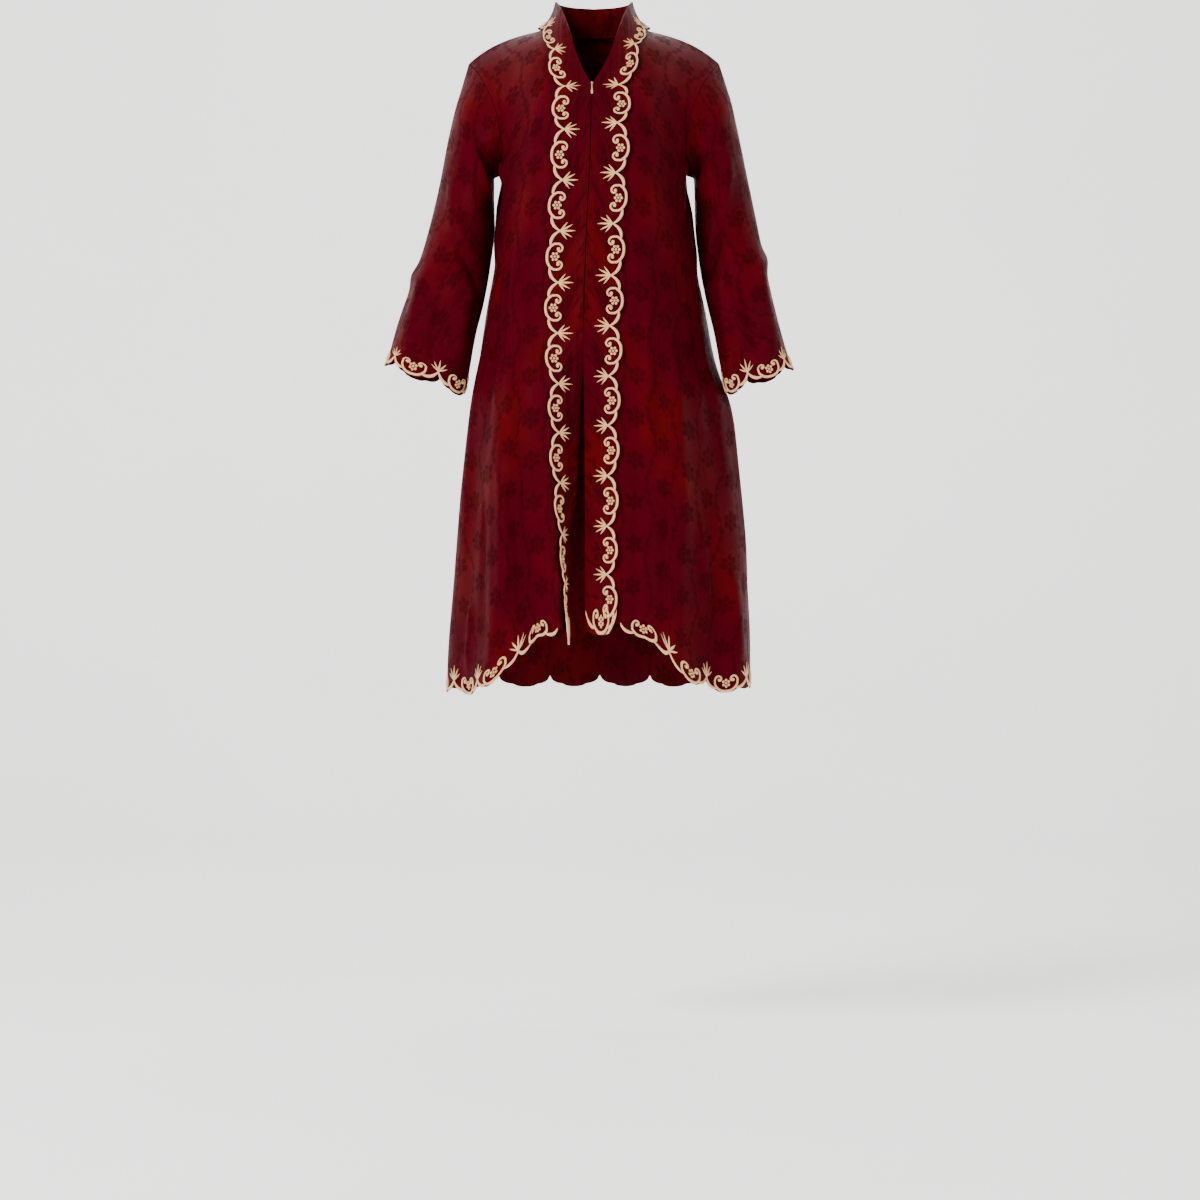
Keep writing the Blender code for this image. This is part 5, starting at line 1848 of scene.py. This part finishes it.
@dataclass
class Bands:
    """The two turned-back front bands and the band behind the neck that joins them."""

    widths: int = 26
    creases: dict[Side, Sequence[Crease]] = field(default_factory=dict)

    def level(self, side: Side, place: Array, width: Array) -> Array:
        """The level on a front band.

        Args:
            side: Which band.
            place: Places along it, in repeats.
            width: 0 at its fold and 1 at the scallops' tops.

        Returns:
            The levels.
        """
        places = [c.place for c in BAND_CUSPS]
        cusps = [c.left if side is Side.LEFT else c.right for c in BAND_CUSPS]
        drop = BAND_END_DEPTHS[side] * np.sqrt(np.clip(1 - (2 * width - 1) ** 2, 0, 1))
        level = np.interp(place, places, cusps) - drop * np.clip(1 - place / 0.45, 0, 1)
        return np.where(place > places[-1], SHOULDER_LEVEL + (place - places[-1]) * 0.05, level)

    def across(self, place: Array) -> Array:
        """Widths from a band's fold out to its scallops, one column per place in repeats."""
        edge = 1 - (SCALLOPS.wide_depth - SCALLOPS.reach(place)) / BAND_WIDTH
        share = np.linspace(0, 1, self.widths)[:, None]
        fold = EDGE_INSET / BAND_WIDTH
        return fold + (edge - fold) * share

    def front_sheet(self, side: Side) -> Sheet:
        """Lays out a front band's cloth.

        Args:
            side: Which band.

        Returns:
            The sheet.
        """
        cusps = [c.left if side is Side.LEFT else c.right for c in BAND_CUSPS]
        top = float(np.interp(yoke_level(TOP_SHARE), cusps, [c.place for c in BAND_CUSPS]))
        place = np.append(np.arange(0, SHOULDER_PLACE - 0.01, 1 / 32), top)
        width = self.across(place)

        def surface(a: Array, b: Array) -> Array:
            """The band's smooth surface, by place and width."""
            return SHAPE.band(side, b, self.level(side, a, b))

        def ease(a: Array, b: Array) -> Array:
            """Keeps the fold and the scalloped edge as they are."""
            return smooth(b / 0.10) * smooth((SHOULDER_PLACE - 0.1 - a) / 0.5)

        name = sided("band", side)
        grid = (spread(place, width), width)
        return Sheet(
            name, surface, -side.value, [grid], (0.0735, 0.058), self.creases.get(side, ()), ease
        )

    def neck_sheet(self) -> Sheet:
        """Lays out the neck band's cloth.

        Returns:
            The sheet.
        """
        end = 1 - EDGE_INSET / NECK_BAND_HALF
        around = np.linspace(-end, end, 129)
        width = self.across(around * 2 + 0.5)
        grid = (spread(around, width), width)
        return Sheet("neck_band", SHAPE.neck_band, 1, [grid], (NECK_BAND_HALF, BAND_WIDTH))

    def border(self, side: Side, sheet: Sheet, neck: Sheet, border: Embroidery) -> bpy.types.Object:
        """Embroiders a front band and its share of the neck band.

        Args:
            side: Which band.
            sheet: The band's cloth.
            neck: The neck band's cloth.
            border: The embroidery.

        Returns:
            The embroidered piece.
        """
        places = 16.0 if side is Side.LEFT else 15.0
        place = np.linspace(0, places, int(places * 20) + 1)
        inward = inward_steps(border)
        grids = []
        for piece in (sheet, neck):
            on_neck = piece is neck
            around = side.value * (1 - (place - SHOULDER_PLACE) / 2)
            a = np.broadcast_to(around if on_neck else place, (len(inward), len(place))).copy()
            b = spread((1 - inward / BAND_WIDTH)[:, None], a)
            keep = (place > SHOULDER_PLACE) == on_neck
            a, b = a[:, keep], b[:, keep]
            out = normals_of(piece.worn, a.ravel(), b.ravel(), piece.turn)
            points = piece.worn(a.ravel(), b.ravel()) + out * CLOTH / 2
            grids.append((points.reshape(*a.shape, 3), out.reshape(*a.shape, 3)))
        points = np.concatenate([g[0] for g in grids], axis=1)
        out = np.concatenate([g[1] for g in grids], axis=1)
        guide = guide_strip(sheet.name + "_guide", points, out)
        return border.stitch(sheet.name + "_embroidery", guide, places, (1, int(places) - 1))

    def end_border(self, sheet: Sheet, border: Embroidery) -> bpy.types.Object:
        """Embroiders a front band's bottom end with one scroll, turned along it.

        Args:
            sheet: The band's cloth.
            border: The embroidery.

        Returns:
            The embroidered piece.
        """
        width = np.linspace(0.04, 0.97, 40)
        place = (inward_steps(border) / SCALLOPS.repeat)[:, None] + 0 * width
        b = spread(width, place)
        guide = sheet.guide(sheet.name + "_end_guide", np.maximum(place, -0.02), b, CLOTH / 2 + 0.4 * MM)
        return border.stitch(sheet.name + "_end_embroidery", guide, 1.0, (0, 0))


@dataclass
class Zip:
    """The concealed zip: two woven tapes, the slider and its teardrop pull. Its teeth are hidden."""

    tape_width: float = 11 * MM
    tape: float = 0.7 * MM
    tape_edge: float = 1.2 * MM

    def tape_sheet(self, side: Side) -> Sheet:
        """Lays out one tape, behind the front's edge.

        Args:
            side: Which tape.

        Returns:
            The sheet.
        """
        columns = np.linspace(
            self.tape_edge / BAND_WIDTH - 1, (self.tape_edge + self.tape_width) / BAND_WIDTH - 1, 7
        )
        level = np.linspace(ZIP_END, V_LEVEL - 0.006, 120)[:, None] + 0 * columns

        name, surface = sided("zip_tape", side), partial(SHAPE.front, side)
        depth = 0.6 * MM + self.tape / 2 + 1.5 * SEAM_GAP
        grid = (spread(columns, level), level)
        return Sheet(name, surface, side.value, [grid], thickness=self.tape, depth=depth)

    def enamel(self, names: Sequence[str]) -> None:
        """Coats the slider and the pull.

        Args:
            names: Their CAD nodes.
        """
        for name in names:
            obj = frame["nodes"][name]
            for slot in obj.material_slots:
                slot.material = ZIP_ENAMEL.material()


class Studio:
    """A plain pale floor and wall, soft lights, and a level camera far in front."""

    def build(self) -> None:
        """Makes the floor, the lights and the camera."""
        points = []
        for y, z in ((-6.0, -1.512), (1.6, -1.512), (2.1, -1.40), (2.4, -1.05), (2.5, -0.5), (2.5, 4.0)):
            points += [(-6.0, y, z), (6.0, y, z)]
        faces = [(2 * k, 2 * k + 1, 2 * k + 3, 2 * k + 2) for k in range(5)]
        mesh = bpy.data.meshes.new("studio_floor")
        mesh.from_pydata(points, [], faces)
        mesh.shade_smooth()
        new_object("studio_floor", mesh, FLOOR.material())
        for name, place, size, power in (
            ("key", (-2.2, -2.3, 1.7), 1.2, 200.0),
            ("fill", (2.4, -2.8, 0.4), 1.8, 60.0),
            ("top", (0.2, 0.4, 2.4), 1.6, 26.0),
            ("back", (0.0, 2.2, 1.2), 1.6, 10.0),
        ):
            light = bpy.data.lights.new(name, "AREA")
            light.size, light.energy = size, power
            lamp = bpy.data.objects.new(name, light)
            lamp.location = place
            bpy.context.scene.collection.objects.link(lamp)
            aim = np.array([0.0, 0.0, -0.5]) - np.array(place)
            x, y, z = aim / np.linalg.norm(aim)
            lamp.rotation_euler = (math.acos(-z), 0.0, math.atan2(y, x) - math.pi / 2)
        world = bpy.data.worlds.new("studio")
        world.use_nodes = True
        world.node_tree.nodes["Background"].inputs["Color"].default_value = (1.0, 0.99, 0.98, 1)
        world.node_tree.nodes["Background"].inputs["Strength"].default_value = 0.42
        bpy.context.scene.world = world
        camera = bpy.data.objects.new("camera", bpy.data.cameras.new("camera"))
        camera.data.lens, camera.data.sensor_width = 100.0, 36.0
        camera.location = (0.009, -5.0, -0.862)
        camera.rotation_euler = (math.pi / 2, 0.0, 0.0)
        bpy.context.scene.collection.objects.link(camera)
        bpy.context.scene.camera = camera


FRONT_CREASES = {
    Side.RIGHT: (
        Crease((0.93, -0.185), (0.60, -0.245), 0.0125, 0.0068, 0.006),
        Crease((0.96, -0.205), (0.66, -0.300), 0.0112, -0.0059, 0.008),
        Crease((0.97, -0.235), (0.78, -0.370), 0.0125, 0.0054, 0.006),
        Crease((0.95, -0.120), (0.76, -0.185), 0.0137, 0.0048, -0.004),
        Crease((0.30, -0.30), (0.26, -0.66), 0.0150, 0.0068),
        Crease((0.15, -0.42), (0.13, -0.88), 0.0125, 0.0059, 0.004),
        Crease((0.52, -0.33), (0.50, -0.70), 0.0163, -0.0068, 0.004),
        Crease((0.34, -0.60), (0.32, -0.95), 0.0112, 0.0076, -0.003),
        Crease((0.46, -0.66), (0.47, -0.99), 0.0125, -0.0068, 0.004),
        Crease((0.70, -0.40), (0.72, -0.86), 0.0150, 0.0065, 0.004),
        Crease((0.86, -0.52), (0.90, -0.97), 0.0125, -0.0059),
        Crease((0.60, -0.84), (0.64, -1.00), 0.0100, 0.0076),
    ),
    Side.LEFT: (
        Crease((0.94, -0.180), (0.62, -0.235), 0.0125, 0.0065, 0.006),
        Crease((0.97, -0.210), (0.70, -0.310), 0.0125, -0.0059, 0.008),
        Crease((0.96, -0.240), (0.82, -0.390), 0.0125, 0.0051, 0.006),
        Crease((0.93, -0.110), (0.74, -0.170), 0.0150, 0.0044, -0.004),
        Crease((0.18, -0.34), (0.15, -0.72), 0.0137, 0.0061),
        Crease((0.36, -0.40), (0.40, -0.84), 0.0150, 0.0065, -0.005),
        Crease((0.58, -0.36), (0.62, -0.78), 0.0150, -0.0061, 0.004),
        Crease((0.26, -0.66), (0.23, -0.96), 0.0112, -0.0068),
        Crease((0.47, -0.68), (0.50, -0.98), 0.0112, 0.0076, 0.003),
        Crease((0.80, -0.46), (0.85, -0.90), 0.0150, 0.0061, 0.004),
        Crease((0.68, -0.80), (0.70, -0.99), 0.0100, 0.0076),
        Crease((0.90, -0.62), (0.93, -0.98), 0.0112, -0.0051),
    ),
}
BACK_CREASES = (
    Crease((-0.90, -0.18), (-0.50, -0.26), 0.0150, 0.0065, 0.006),
    Crease((0.90, -0.18), (0.54, -0.25), 0.0150, 0.0061, -0.006),
    Crease((-0.93, -0.22), (-0.66, -0.36), 0.0137, -0.0054, 0.006),
    Crease((0.93, -0.23), (0.68, -0.38), 0.0137, -0.0054, -0.006),
    Crease((-0.12, -0.34), (-0.14, -0.80), 0.0163, 0.0068),
    Crease((0.16, -0.40), (0.19, -0.90), 0.0150, 0.0065),
    Crease((-0.40, -0.50), (-0.44, -0.97), 0.0125, -0.0068),
    Crease((0.40, -0.46), (0.46, -0.95), 0.0137, -0.0065),
    Crease((-0.66, -0.42), (-0.70, -0.90), 0.0150, 0.0065),
    Crease((0.66, -0.55), (0.71, -0.98), 0.0125, 0.0068),
    Crease((-0.88, -0.60), (-0.92, -0.98), 0.0112, -0.0054),
    Crease((0.88, -0.50), (0.92, -0.95), 0.0125, -0.0054),
)
SLEEVE_CREASES = {
    Side.LEFT: (
        Crease((230, 0.50), (300, 0.68), 0.0125, -0.0085, 0.006),
        Crease((200, 0.56), (430, 0.72), 0.0137, 0.0059, 0.010),
        Crease((440, 0.52), (520, 0.66), 0.0125, -0.0076, -0.006),
        Crease((455, 0.18), (520, 0.34), 0.0150, 0.0068),
        Crease((420, 0.30), (470, 0.52), 0.0150, 0.0058, 0.004),
        Crease((395, 0.62), (410, 1.02), 0.0150, 0.0061),
        Crease((440, 0.70), (452, 1.04), 0.0137, -0.0061),
        Crease((480, 0.64), (495, 1.04), 0.0125, 0.0061),
        Crease((215, 0.20), (270, 0.36), 0.0150, 0.0065),
        Crease((260, 0.66), (250, 1.02), 0.0150, -0.0061),
        Crease((310, 0.60), (315, 1.00), 0.0150, 0.0058),
    ),
    Side.RIGHT: (
        Crease((232, 0.48), (310, 0.66), 0.0125, -0.0078, 0.006),
        Crease((205, 0.58), (420, 0.70), 0.0137, 0.0056, 0.010),
        Crease((436, 0.54), (516, 0.70), 0.0125, -0.0082, -0.006),
        Crease((450, 0.16), (516, 0.33), 0.0150, 0.0071),
        Crease((412, 0.34), (462, 0.58), 0.0150, 0.0054, 0.004),
        Crease((400, 0.60), (418, 1.02), 0.0150, 0.0058),
        Crease((446, 0.68), (458, 1.04), 0.0137, -0.0068),
        Crease((486, 0.62), (500, 1.04), 0.0125, 0.0058),
        Crease((210, 0.22), (266, 0.38), 0.0150, 0.0061),
        Crease((266, 0.64), (256, 1.02), 0.0150, -0.0058),
        Crease((316, 0.62), (322, 1.00), 0.0150, 0.0061),
    ),
}
BAND_CREASES = {
    Side.LEFT: (
        Crease((12.0, 0.16), (6.3, 0.22), 0.0035, 0.0018, 0.002),
        Crease((11.0, 0.34), (7.6, 0.30), 0.0040, 0.0016, -0.002),
        Crease((9.4, 0.46), (4.8, 0.40), 0.0040, 0.0016),
        Crease((6.6, 0.22), (2.0, 0.26), 0.0045, 0.0016, 0.002),
        Crease((4.2, 0.42), (0.6, 0.40), 0.0045, 0.0018),
    ),
    Side.RIGHT: (
        Crease((11.8, 0.20), (7.0, 0.16), 0.0035, 0.0020, -0.002),
        Crease((10.4, 0.38), (6.2, 0.34), 0.0042, 0.0017, 0.002),
        Crease((8.2, 0.24), (3.6, 0.20), 0.0040, 0.0018),
        Crease((5.8, 0.44), (1.8, 0.42), 0.0045, 0.0017, -0.002),
        Crease((3.4, 0.24), (0.5, 0.26), 0.0045, 0.0018),
    ),
}


def finish_sheet(sheet: Sheet, finish: Any, trims: Sequence[bpy.types.Object]) -> None:
    """Builds a sheet of cloth and tells the frame about it and its embroidery.

    Args:
        sheet: The sheet.
        finish: Its finish.
        trims: Its embroidered pieces.
    """
    cloth = sheet.shell(finish)
    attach(cloth, "garment")
    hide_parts(sheet.name)
    for trim in trims:
        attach(trim, "garment")
        log.info("%s: %d faces", trim.name, len(trim.data.polygons))


def main() -> None:
    """Builds the blouse piece by piece in the studio."""
    logging.basicConfig(level=logging.INFO, format="%(message)s")
    Studio().build()
    border = Embroidery()
    motifs = [border.scroll(), border.sprig()]
    border.tree()
    for side in Side:
        front = Front(side, creases=FRONT_CREASES[side])
        sheet = front.sheet()
        finish_sheet(sheet, JACQUARD, [front.border(sheet, border)])
        sleeve = Sleeve(side, creases=SLEEVE_CREASES[side])
        sheet = sleeve.sheet()
        finish_sheet(sheet, JACQUARD, [sleeve.border(sheet, border)])
    back = Back(creases=BACK_CREASES)
    sheet = back.sheet()
    finish_sheet(sheet, JACQUARD, [back.border(sheet, border)])
    bands = Bands(creases=BAND_CREASES)
    neck = bands.neck_sheet()
    for side in Side:
        sheet = bands.front_sheet(side)
        trims = [bands.border(side, sheet, neck, border), bands.end_border(sheet, border)]
        finish_sheet(sheet, JACQUARD, trims)
    finish_sheet(neck, JACQUARD, [])
    fastening = Zip()
    for side in Side:
        finish_sheet(fastening.tape_sheet(side), ZIP_TAPE, [])
    fastening.enamel(("zip_slider", "zip_pull"))
    for obj in [*motifs, *(o for o in bpy.data.objects if o.name.endswith("guide"))]:
        bpy.data.objects.remove(obj, do_unlink=True)


if __name__ == "__main__":
    main()
